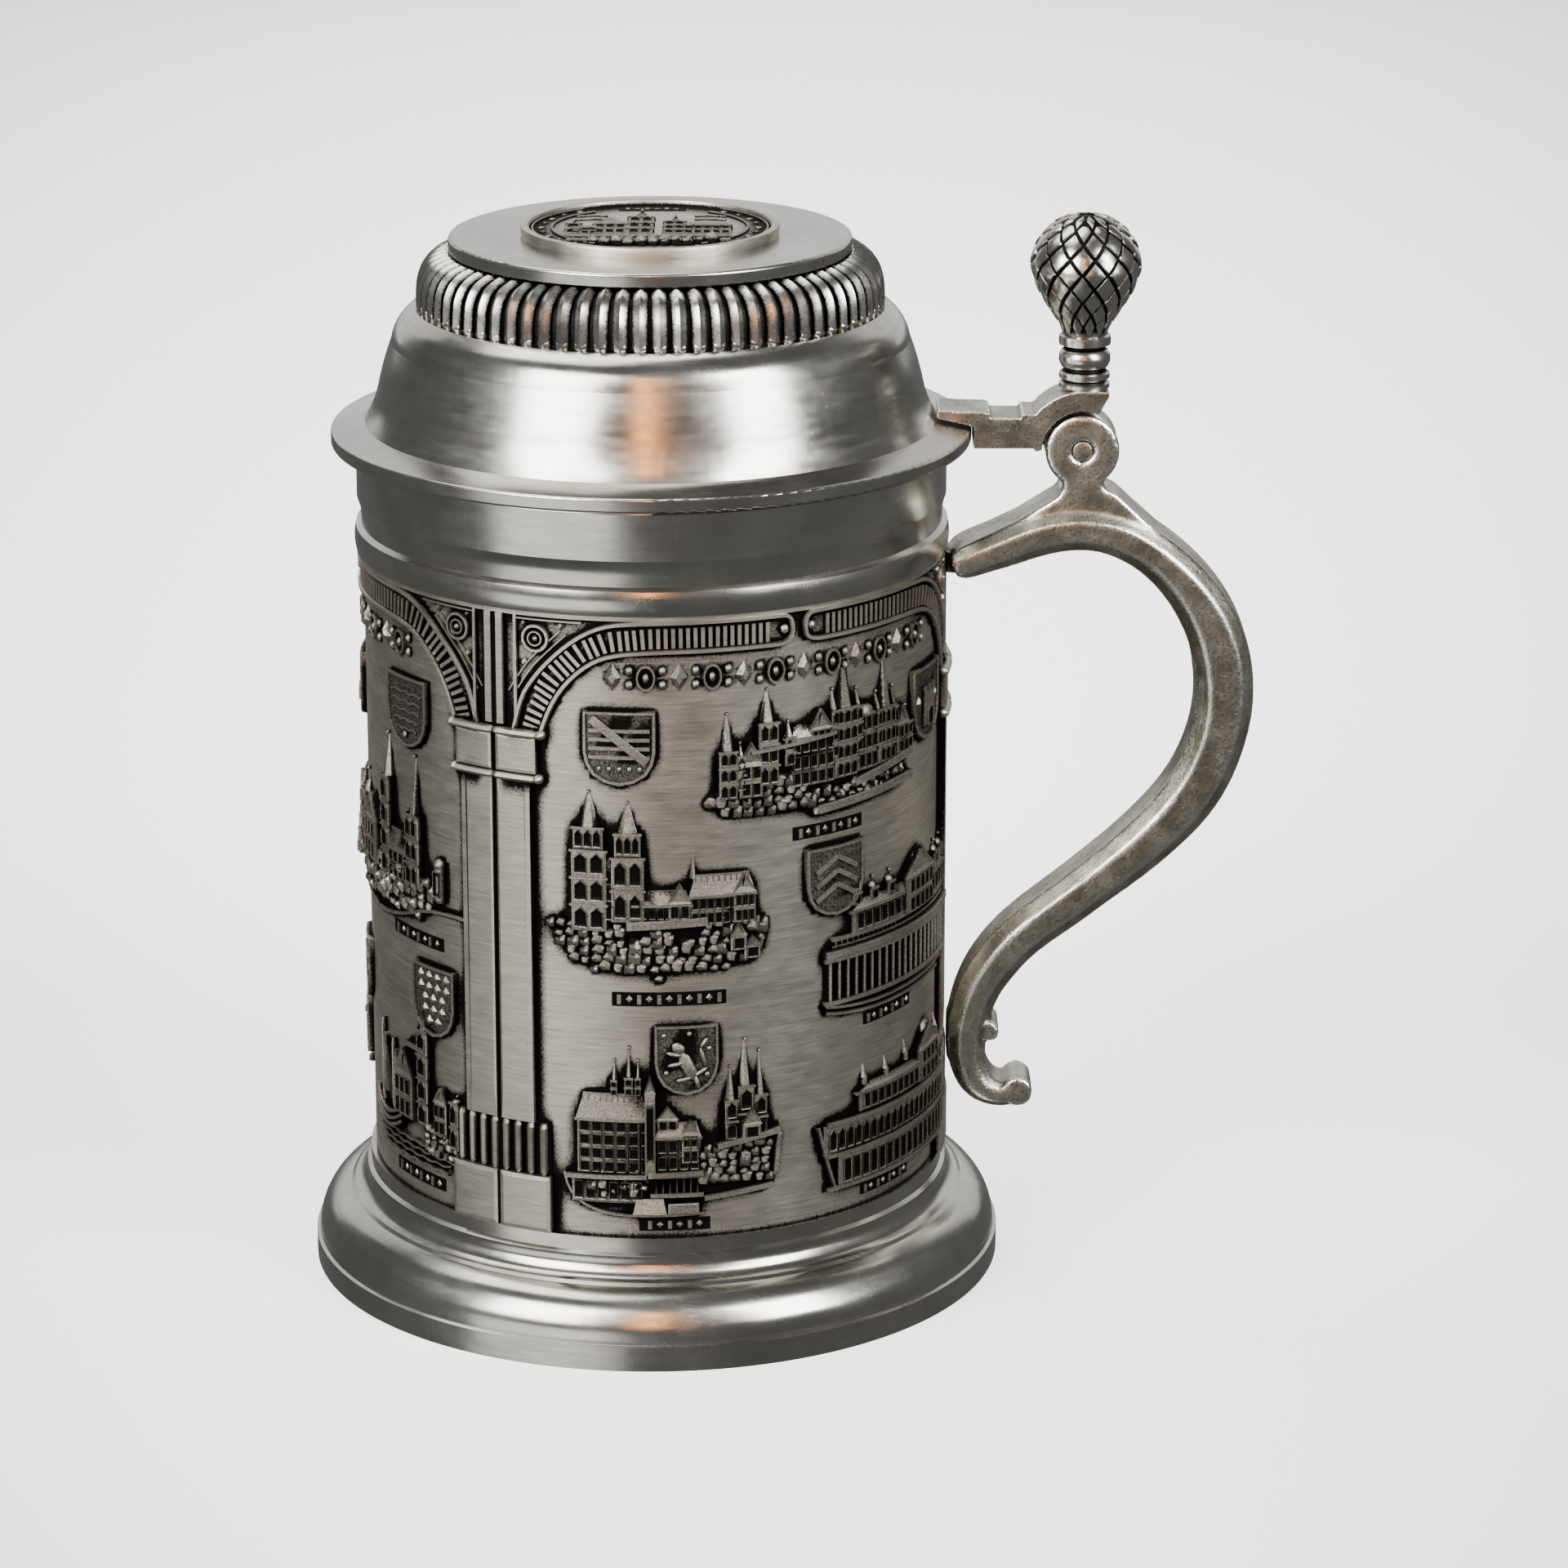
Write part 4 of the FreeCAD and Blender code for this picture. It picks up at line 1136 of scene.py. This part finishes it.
back_plate = {
    "views": ((castle_view, -19, -1), (church_view, 38, -1), (colonnade_view, -40, 4),
              (harbour_view, -43, -1), (town_view, 37, 1)),
    "shields": ((17.5, 85.6, 10.3, 10.8, "lozenges"), (-31.0, 76.0, 8.6, 9.4, "bend"),
                (-2.4, 40.6, 9.4, 10.4, "waves")),
    "ribbons": ((20.0, 52.6, 14.0, 2.0), (-16.0, 50.2, 13.0, 2.0), (-19.0, 19.6, 13.0, 2.0),
                (18.6, 19.2, 12.0, 2.0)),
}


def carve(plate, pattern):
    """Draws the frieze, then the views with their shifts, the shields and the ribbons."""
    frieze(plate, *FRIEZE)
    for view, *shift in pattern["views"]:
        plate.shift = shift
        view(plate)
    plate.shift = (0, 0)
    for numbers in pattern["shields"]:
        shield(plate, *numbers)
    for numbers in pattern["ribbons"]:
        plate.ribbon(*numbers)


# %% [markdown]
# ## From flat pattern to rolled plate
# The field is a fine grid with the plate's real thickness. Black patina stays where the
# neighbourhood stands higher than the spot itself, so the relief is probed from the front
# on a fine raster, that height map is blurred, and each vertex stores how far it lies below
# the blurred height as the attribute "hollow". Then Simple Deform bends the flat pattern to
# exactly a third of a turn, with the field at its true radius.

# %% Height map and patina
PROBE_STEP = 0.3 * mm
NEAR_BLUR, WIDE_BLUR = 1.5, 4.6
NEAR_DEPTH, WIDE_DEPTH = 0.32 * mm, 0.44 * mm
WIDE_SHARE, BACK_OF_PLATE = 0.8, 0.3


def blurred(heights, sigma):
    """A Gaussian blur by Fourier transform; sigma in raster steps."""
    rows, columns = (np.fft.fftfreq(count) for count in heights.shape)
    weight = np.exp(-2 * (math.pi * sigma) ** 2 * (rows[:, None] ** 2 + columns[None, :] ** 2))
    return np.fft.ifft2(np.fft.fft2(heights) * weight).real


def write_hollow(piece, own):
    """own is the value each vertex brought along; the larger of the two is kept."""
    mesh = piece.data
    count = len(mesh.vertices)
    places = np.empty(count * 3)
    mesh.vertices.foreach_get("co", places)
    places = places.reshape(-1, 3)
    tree = BVHTree.FromObject(piece, bpy.context.evaluated_depsgraph_get())
    low_x, low_z = places[:, 0].min(), places[:, 2].min()
    columns = int((places[:, 0].max() - low_x) / PROBE_STEP) + 1
    rows = int((places[:, 2].max() - low_z) / PROBE_STEP) + 1
    heights = np.zeros((rows, columns))
    down = Vector((0, 1, 0))
    for row in range(rows):
        for column in range(columns):
            probe = Vector((low_x + (column + 0.5) * PROBE_STEP, -0.01,
                            low_z + (row + 0.5) * PROBE_STEP))
            hit = tree.ray_cast(probe, down)[0]
            if hit:
                heights[row, column] = max(-hit.y, 0)
    near, wide = blurred(heights, NEAR_BLUR), blurred(heights, WIDE_BLUR)
    row = np.clip(((places[:, 2] - low_z) / PROBE_STEP).astype(int), 0, rows - 1)
    column = np.clip(((places[:, 0] - low_x) / PROBE_STEP).astype(int), 0, columns - 1)
    below_near = (near[row, column] + places[:, 1]) / NEAR_DEPTH
    below_wide = (wide[row, column] + places[:, 1]) / WIDE_DEPTH
    hollow = np.clip(np.maximum(below_near, below_wide * WIDE_SHARE), 0, 1)
    hollow = np.maximum(hollow, own)
    hollow[places[:, 1] > 0.5 * mm] = BACK_OF_PLATE
    if "hollow" in mesh.attributes:
        mesh.attributes.remove(mesh.attributes["hollow"])
    mesh.attributes.new("hollow", "FLOAT", "POINT").data.foreach_set("value", hollow)


# %% Making the three plates
# The grid's cells round and up, the plate's wall, where the carving is cut so that it can
# bend (mm from the plate's middle), and the least "hollow" of everything on the field.
GRID = (128, 134)
PLATE_WALL = 2.4 * mm
FOLDS = range(-42, 45, 3)
VIEW_STAIN = 0.36


def make_plate(name, pattern, azimuth):
    """The azimuth is where the plate's middle faces, in degrees from the handle."""
    plate = Plate()
    border(plate)
    plate.stain = VIEW_STAIN
    carve(plate, pattern)
    middle, height = (plate_low.z + plate_high.z) / 2, plate_high.z - plate_low.z
    nothing_selected()
    bpy.ops.mesh.primitive_grid_add(x_subdivisions=GRID[0], y_subdivisions=GRID[1], size=1,
                                    location=(0, 0, middle), rotation=(TURN / 4, 0, 0))
    piece = bpy.context.object
    piece.name = name
    piece.scale = (PLATE_ARC, height, 1)
    place_is_in_mesh(piece)
    apply_modifier(piece, "SOLIDIFY", thickness=PLATE_WALL, offset=-1)
    piece.data.attributes.new("hollow", "FLOAT", "POINT")
    for cut in FOLDS:
        everything = plate.carving.verts[:] + plate.carving.edges[:] + plate.carving.faces[:]
        bmesh.ops.bisect_plane(plate.carving, geom=everything, plane_co=(cut * mm, 0, 0),
                               plane_no=(1, 0, 0))
    plate.carving.from_mesh(piece.data)
    plate.carving.to_mesh(piece.data)
    plate.carving.free()
    count = len(piece.data.vertices)
    own = np.empty(count)
    piece.data.attributes["hollow"].data.foreach_get("value", own)
    write_hollow(piece, own)
    apply_modifier(piece, "SIMPLE_DEFORM", deform_method="BEND", deform_axis="Z", angle=TURN / 3)
    piece.location = (0, -FIELD_RADIUS, 0)
    place_is_in_mesh(piece)
    piece.rotation_euler = (0, 0, math.radians(azimuth - 270))
    place_is_in_mesh(piece)
    bpy.ops.object.shade_smooth_by_angle(angle=math.radians(38))
    give(piece, RELIEF)
    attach(piece, "vessel")
    radii = [math.hypot(corner.co.x, corner.co.y) / mm for corner in piece.data.vertices]
    print(name, len(piece.data.polygons),
          "faces, radius %.2f to %.2f mm" % (min(radii), max(radii)))
    return piece


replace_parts(make_plate("drum_plate_front", front_plate, 300), "relief_panel_front")
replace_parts(make_plate("drum_plate_left", left_plate, 180), "relief_panel_left")
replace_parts(make_plate("drum_plate_back", back_plate, 60), "relief_panel_back")

# %% [markdown]
# ## Ribbed band of the lid
# Round ribs stand side by side under the top disc and bend inwards over the shoulder, with
# black patina left between them. One rib is a round tube along the shoulder's line. It is
# copied round a dark ring that is spun from a profile, which keeps all ribs alike, as they
# are when a knurling wheel or one mould makes them.

# %% Spinning a profile, and writing the "hollow" value
def spun(name, profile, steps=192, centre=0.0):
    """Turns a profile of (radius, height) in mm about a vertical axis with Spin."""
    mesh = bpy.data.meshes.new(name)
    mesh.from_pydata([(radius * mm, 0, height * mm) for radius, height in profile],
                     [(number, number + 1) for number in range(len(profile) - 1)], [])
    piece = bpy.data.objects.new(name, mesh)
    bpy.context.scene.collection.objects.link(piece)
    only(piece)
    bpy.ops.object.mode_set(mode="EDIT")
    bpy.ops.mesh.select_all(action="SELECT")
    bpy.ops.mesh.spin(steps=steps, angle=TURN, center=(0, 0, 0), axis=(0, 0, 1))
    bpy.ops.object.mode_set(mode="OBJECT")
    piece.location.x = centre * mm
    place_is_in_mesh(piece)
    tidy_surface(piece, 0.002 * mm, 40)
    return piece


def write_value(mesh, value):
    """value(place) in mm gives the "hollow" of each vertex."""
    if "hollow" not in mesh.attributes:
        mesh.attributes.new("hollow", "FLOAT", "POINT")
    numbers = [min(max(value(corner.co / mm), 0.0), 1.0) for corner in mesh.vertices]
    mesh.attributes["hollow"].data.foreach_set("value", numbers)


def add_copies(piece, copies):
    """Joins transformed copies of meshes, given as (mesh, matrix), into the piece."""
    collected = bmesh.new()
    collected.from_mesh(piece.data)
    for mesh, change in copies:
        copy = mesh.copy()
        copy.transform(change)
        collected.from_mesh(copy)
        bpy.data.meshes.remove(copy)
    collected.to_mesh(piece.data)
    collected.free()


def finish_piece(piece, material, body, slot, *nodes, angle=40):
    """Shades the piece, gives it its finish and puts it in the CAD node's place."""
    only(piece)
    bpy.ops.object.shade_smooth_by_angle(angle=math.radians(angle))
    give(piece, material)
    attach(piece, body)
    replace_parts(piece, *nodes)
    print(piece.name, len(piece.data.polygons), "faces")


# %% The band
RIB_COUNT = 75
RIB_RADIUS = 1.2
band_base, band_radius = band_low.z / mm, band_high.x / mm
rib_line = [
    (band_radius - 1.05, band_base + 0.55), (band_radius - 1.05, band_base + 3.2),
    (band_radius - 1.6, band_base + 5.2), (band_radius - 2.9, band_base + 6.7),
    (band_radius - 4.6, band_base + 7.15)]
rib = curve_mesh([(x * mm, z * mm) for x, z in rib_line], False, RIB_RADIUS * mm, smooth=True)
for (x, z), share in ((rib_line[0], 1.0), (rib_line[-1], 0.9)):
    join_into(rib, added(bpy.ops.mesh.primitive_uv_sphere_add, segments=8, ring_count=6,
                         radius=RIB_RADIUS * mm * share, location=(x * mm, 0, z * mm)))
write_value(rib.data, lambda place: (abs(place.y) / RIB_RADIUS - 0.58) * 2.1)
band = spun("lid_ribs", [
    (28.2, band_base + 0.05), (band_radius - 0.9, band_base + 0.05),
    (band_radius - 0.95, band_base + 3.2), (band_radius - 1.55, band_base + 5.2),
    (band_radius - 2.9, band_base + 6.8), (band_radius - 4.6, band_base + 7.4),
    (28.2, band_base + 7.8)])
write_value(band.data, lambda place: 1.0)
add_copies(band, [(rib.data, Matrix.Rotation(TURN * number / RIB_COUNT, 4, "Z"))
                  for number in range(RIB_COUNT)])
bpy.data.objects.remove(rib)
finish_piece(band, RIBBED, "lid", "ribbed_pewter", "ribbed_band")

# %% [markdown]
# ## Thumbpiece like a pine cone
# The bulb is covered with rows of pointed scales, each row half a scale on from the row
# below, with the tips standing out and black between them. A scale is a small grid turned
# on its point. It is wrapped on the bulb by its own arc length and angle, because a flat
# patch would stand off the ball at its tips.

# %% Bulb and stem
SCALES_ROUND = 13
ROW_STEP = 2.45
stem_x = (bulb_low.x + bulb_high.x) / 2 / mm
bulb_radius = (bulb_high.x - bulb_low.x) / 2 / mm
bulb_z = bulb_high.z / mm - bulb_radius
outline = [(3.5, bulb_z - 9.7), (4.2, bulb_z - 8.2), (5.3, bulb_z - 6.6), (6.5, bulb_z - 4.8),
           (7.4, bulb_z - 3.1), (7.95, bulb_z - 1.5)]
outline += [(bulb_radius * math.cos(turn), bulb_z + bulb_radius * math.sin(turn))
            for turn in (TURN / 4 * step / 10 for step in range(11))]
runs = [0.0]
for start, end in zip(outline, outline[1:]):
    runs.append(runs[-1] + math.dist(start, end))


def on_bulb(run, turn, sink):
    """The place at an arc length up the outline, an angle round it and a depth below it."""
    run = min(max(run, 0), runs[-1] - 0.001)
    index = max(number for number, length in enumerate(runs[:-1]) if length <= run)
    share = (run - runs[index]) / (runs[index + 1] - runs[index])
    (low_r, low_z), (high_r, high_z) = outline[index], outline[index + 1]
    length = math.dist(outline[index], outline[index + 1])
    radius = low_r + (high_r - low_r) * share - sink * (high_z - low_z) / length
    height = low_z + (high_z - low_z) * share + sink * (high_r - low_r) / length
    return Vector((radius * math.cos(turn) + stem_x, radius * math.sin(turn), height)) * mm


base_z = bulb_low.z / mm
stem = spun("thumb_cone", [
    (0, base_z), (3.75, base_z), (3.75, base_z + 0.6), (3.3, base_z + 0.85),
    (3.2, base_z + 1.0), (3.75, base_z + 1.4), (3.75, base_z + 2.1), (3.2, base_z + 2.5),
    (3.1, base_z + 2.8), (3.45, base_z + 3.1), (3.8, base_z + 3.9), (3.8, base_z + 4.8),
    (3.45, base_z + 5.5), (3.05, base_z + 5.8), (3.05, base_z + 6.1), (3.8, base_z + 6.4),
    (3.85, base_z + 7.1), (3.8, base_z + 7.7), (3.3, base_z + 8.0),
] + [(max(radius - 0.75 * min(1, (height - bulb_z + 9.9)), 0), height - (0.7 if radius < 3 else 0))
     for radius, height in outline], 64, stem_x)
write_value(stem.data, lambda place: 1.0 if place.z > base_z + 8.1
            else 1.6 - 3.2 * (math.hypot(place.x - stem_x, place.y) - 2.95))

scale_grid = added(bpy.ops.mesh.primitive_grid_add, x_subdivisions=6, y_subdivisions=6, size=2)
for vertex in scale_grid.data.vertices:
    for axis in (0, 1):
        step = round(vertex.co[axis] * 3)
        vertex.co[axis] = (0, 0.45, 0.78, 1)[abs(step)] * (1 if step > 0 else -1)
scale_places = [tuple(vertex.co) for vertex in scale_grid.data.vertices]
copies = []
for row in range(int(runs[-1] / ROW_STEP)):
    for number in range(SCALES_ROUND):
        middle_turn = TURN * (number + 0.5 * (row % 2)) / SCALES_ROUND
        middle_run = ROW_STEP * (row + 0.55)
        scale_mesh = scale_grid.data.copy()
        values = []
        for vertex, (first, second, _) in zip(scale_mesh.vertices, scale_places):
            across, up = (first - second) / 2, (first + second) / 2
            rim = max(abs(first), abs(second)) > 0.95
            rise = 0.85 if rim else 0.2 * (first * first + second * second) * 0.5 + 0.24 * (1 + up)
            vertex.co = on_bulb(middle_run + up * ROW_STEP,
                                middle_turn + across * TURN / SCALES_ROUND / 2, rise)
            values.append(1.0 if rim else 0.2 * max(abs(first), abs(second)) + max(up, 0) * 0.3)
        scale_mesh.attributes.new("hollow", "FLOAT", "POINT").data.foreach_set("value", values)
        copies.append((scale_mesh, Matrix.Identity(4)))
add_copies(stem, copies)
for mesh, _ in copies:
    bpy.data.meshes.remove(mesh)
bpy.data.objects.remove(scale_grid)
finish_piece(stem, RIBBED, "lid", "ribbed_pewter", "thumbpiece", angle=35)

# %% [markdown]
# ## Medallion
# A round relief is let into the top disc: a raised rim, two sunk crescents left and right
# and a small town in the middle. The scene is drawn with the same carving shapes as the
# drum, upright in the plate's own directions, and then laid on its back.

# %% Medallion
medal_field, medal_rim = disc_high.z / mm + 0.75, medal_high.z / mm
scene_plate = Plate()
scene_plate.stain = 0.4
scene_plate.tower(-1.4, -7, 3.8, 13.0, 6.4, 3, 2, 0.45)
scene_plate.tower(3.6, -7, 3.2, 9.6, 5.4, 3, 2, 0.45)
scene_plate.tower(-11.2, -7, 2.4, 8.0, 3.6, 2, 1, 0.45)
scene_plate.hall(8.4, -7, 7.0, 6.4, 3.6, 5, 2, 0.4)
scene_plate.house(-5.8, -7, 5.0, 7.6, 4.8, 0.45, 3, 2)
scene_plate.hall(-9.4, -7, 4.0, 4.6, 2.6, 3, 2, 0.4)
scene_plate.colonnade(-11.6, 11.6, -10.6, 2.8, 16, 0.35, 0.6)
scene_plate.grove(-12.5, 12.5, lambda x: -14.6 + x * x * 0.03, lambda x: -11.2, 2.16)
for side in (-1, 1):
    for height in (6.0, 8.6):
        scene_plate.rail([(side * 6.5, height), (side * 8.4, height + 0.9),
                          (side * 11, height - 0.4)], 0.5, 0.3)
scene_plate.ribbon(0, 13.2, 10, 1.4)
for side in (-1, 1):
    for step in range(9):
        turn = math.radians(-48 + step * 12)
        scene_plate.place("lozenge" if step % 2 else "bead", side * 15.9 * math.cos(turn),
                          15.9 * math.sin(turn) - 0.7, 1.3, 1.4, 0.3)
    for radius in (14.4, 17.3):
        scene_plate.rail([(side * radius * math.cos(math.radians(turn)),
                           radius * math.sin(math.radians(turn)))
                          for turn in range(-58, 60, 8)], 0.5, 0.4)
medal = spun("medallion_relief", [
    (0, disc_high.z / mm), (18.9, disc_high.z / mm), (19.0, medal_rim - 0.5),
    (18.85, medal_rim - 0.15), (18.4, medal_rim), (17.9, medal_rim - 0.1),
    (17.6, medal_field + 0.1), (17.2, medal_field), (10, medal_field), (0, medal_field)])


def medal_black(place):
    """Black along the rim's foot and in the sunk crescents left and right."""
    out = math.hypot(place.x, place.y)
    if 16.9 < out < 17.8 and place.z < medal_rim - 0.3:
        return 0.75
    return 0.55 if 14.2 < out < 17.5 and abs(place.y) < 11 else 0.0


write_value(medal.data, medal_black)
scene_mesh = bpy.data.meshes.new("scene")
scene_plate.carving.to_mesh(scene_mesh)
scene_plate.carving.free()
values = np.empty(len(scene_mesh.vertices))
scene_mesh.attributes["hollow"].data.foreach_get("value", values)
for index, vertex in enumerate(scene_mesh.vertices):
    values[index] = max(values[index], min(1.0, 0.75 + vertex.co.y / (0.35 * mm)))
scene_mesh.attributes["hollow"].data.foreach_set("value", values)
lay_down = Matrix.Translation((0, 0, medal_field * mm)) @ Matrix.Rotation(-TURN / 4, 4, "X")
add_copies(medal, [(scene_mesh, lay_down)])
finish_piece(medal, RELIEF, "lid", "relief_pewter", "medallion")

# %% [markdown]
# ## Castings: handle, strap and pin
# The handle and the lid strap are sand castings, filed and worn by hands: every edge is a
# little round and bright, every inner corner keeps some black. A merged copy of the CAD
# mesh is remeshed into even small cells and smoothed, which rounds the edges as filing
# does. What the smoothing wants to move inwards is an edge and is stored as "wear", and
# what it wants to move outwards is a corner and is stored as "hollow".

# %% Soft castings
def copy_of_node(node, name):
    piece = frame["nodes"][node].copy()
    piece.data = frame["nodes"][node].data.copy()
    piece.name = name
    piece.animation_data_clear()
    piece.parent = None
    piece.matrix_world = Matrix.Identity(4)
    bpy.context.scene.collection.objects.link(piece)
    tidy_surface(piece, 0.002 * mm, 30)
    return piece


def places_of(piece):
    places = np.empty(len(piece.data.vertices) * 3)
    piece.data.vertices.foreach_get("co", places)
    return places.reshape(-1, 3)


def soft_casting(piece, cell, rounds, reach):
    """Voxel remesh and smoothing, with the attributes wear and hollow. reach in mm."""
    apply_modifier(piece, "REMESH", mode="VOXEL", voxel_size=cell * mm, use_smooth_shade=True)
    apply_modifier(piece, "SMOOTH", factor=0.5, iterations=rounds)
    before = places_of(piece)
    probe = piece.copy()
    probe.data = piece.data.copy()
    bpy.context.scene.collection.objects.link(probe)
    apply_modifier(probe, "SMOOTH", factor=0.5, iterations=12)
    moved = places_of(probe) - before
    bpy.data.objects.remove(probe)
    normals = np.empty(len(before) * 3)
    piece.data.vertices.foreach_get("normal", normals)
    outwards = (moved * normals.reshape(-1, 3)).sum(axis=1) / (reach * mm)
    for name, values in (("wear", -outwards), ("hollow", outwards)):
        attribute = piece.data.attributes.new(name, "FLOAT", "POINT")
        attribute.data.foreach_set("value", np.clip(values, 0, 1))


handle = copy_of_node("handle", "cast_handle")
soft_casting(handle, 0.42, 2, 0.14)
finish_piece(handle, CAST, "vessel", "cast_pewter", "handle", angle=180)

NOTCH_PLACE = Vector((52.2, 0, 131.6)) * mm
NOTCH_SIZE = Vector((4.6, 20, 1.3)) * mm
strap = copy_of_node("lid_strap", "cast_strap")
notch = added(bpy.ops.mesh.primitive_cube_add, size=1, location=NOTCH_PLACE, scale=NOTCH_SIZE)
apply_modifier(strap, "BOOLEAN", operation="DIFFERENCE", object=notch, solver="EXACT")
bpy.data.objects.remove(notch)
soft_casting(strap, 0.2, 2, 0.07)
finish_piece(strap, CAST, "lid", "cast_pewter", "lid_strap", angle=180)

# %% Hinge pin with its riveted heads
pin_end = pin_high.y / mm
pin = spun("riveted_pin", [
    (0, -pin_end), (1.25, -pin_end), (1.5, -pin_end + 0.12), (1.6, -pin_end + 0.3),
    (1.6, pin_end - 0.3), (1.5, pin_end - 0.12), (1.25, pin_end), (0, pin_end)], 48)
pin.rotation_euler = (TURN / 4, 0, 0)
place_is_in_mesh(pin)
pin.location = hinge
place_is_in_mesh(pin)
write_value(pin.data, lambda place: (math.hypot(place.x - hinge.x / mm, place.z - hinge.z / mm)
                                     - 1.3) * 3)
finish_piece(pin, CAST, "vessel", "steel_pin", "hinge_pin")

# %% Finishes of the CAD pieces that keep their own mesh
for node in ("foot_ring", "lip_ring", "lid_shell", "lid_top_disc", "base_disc"):
    give(frame["nodes"][node], TURNED)
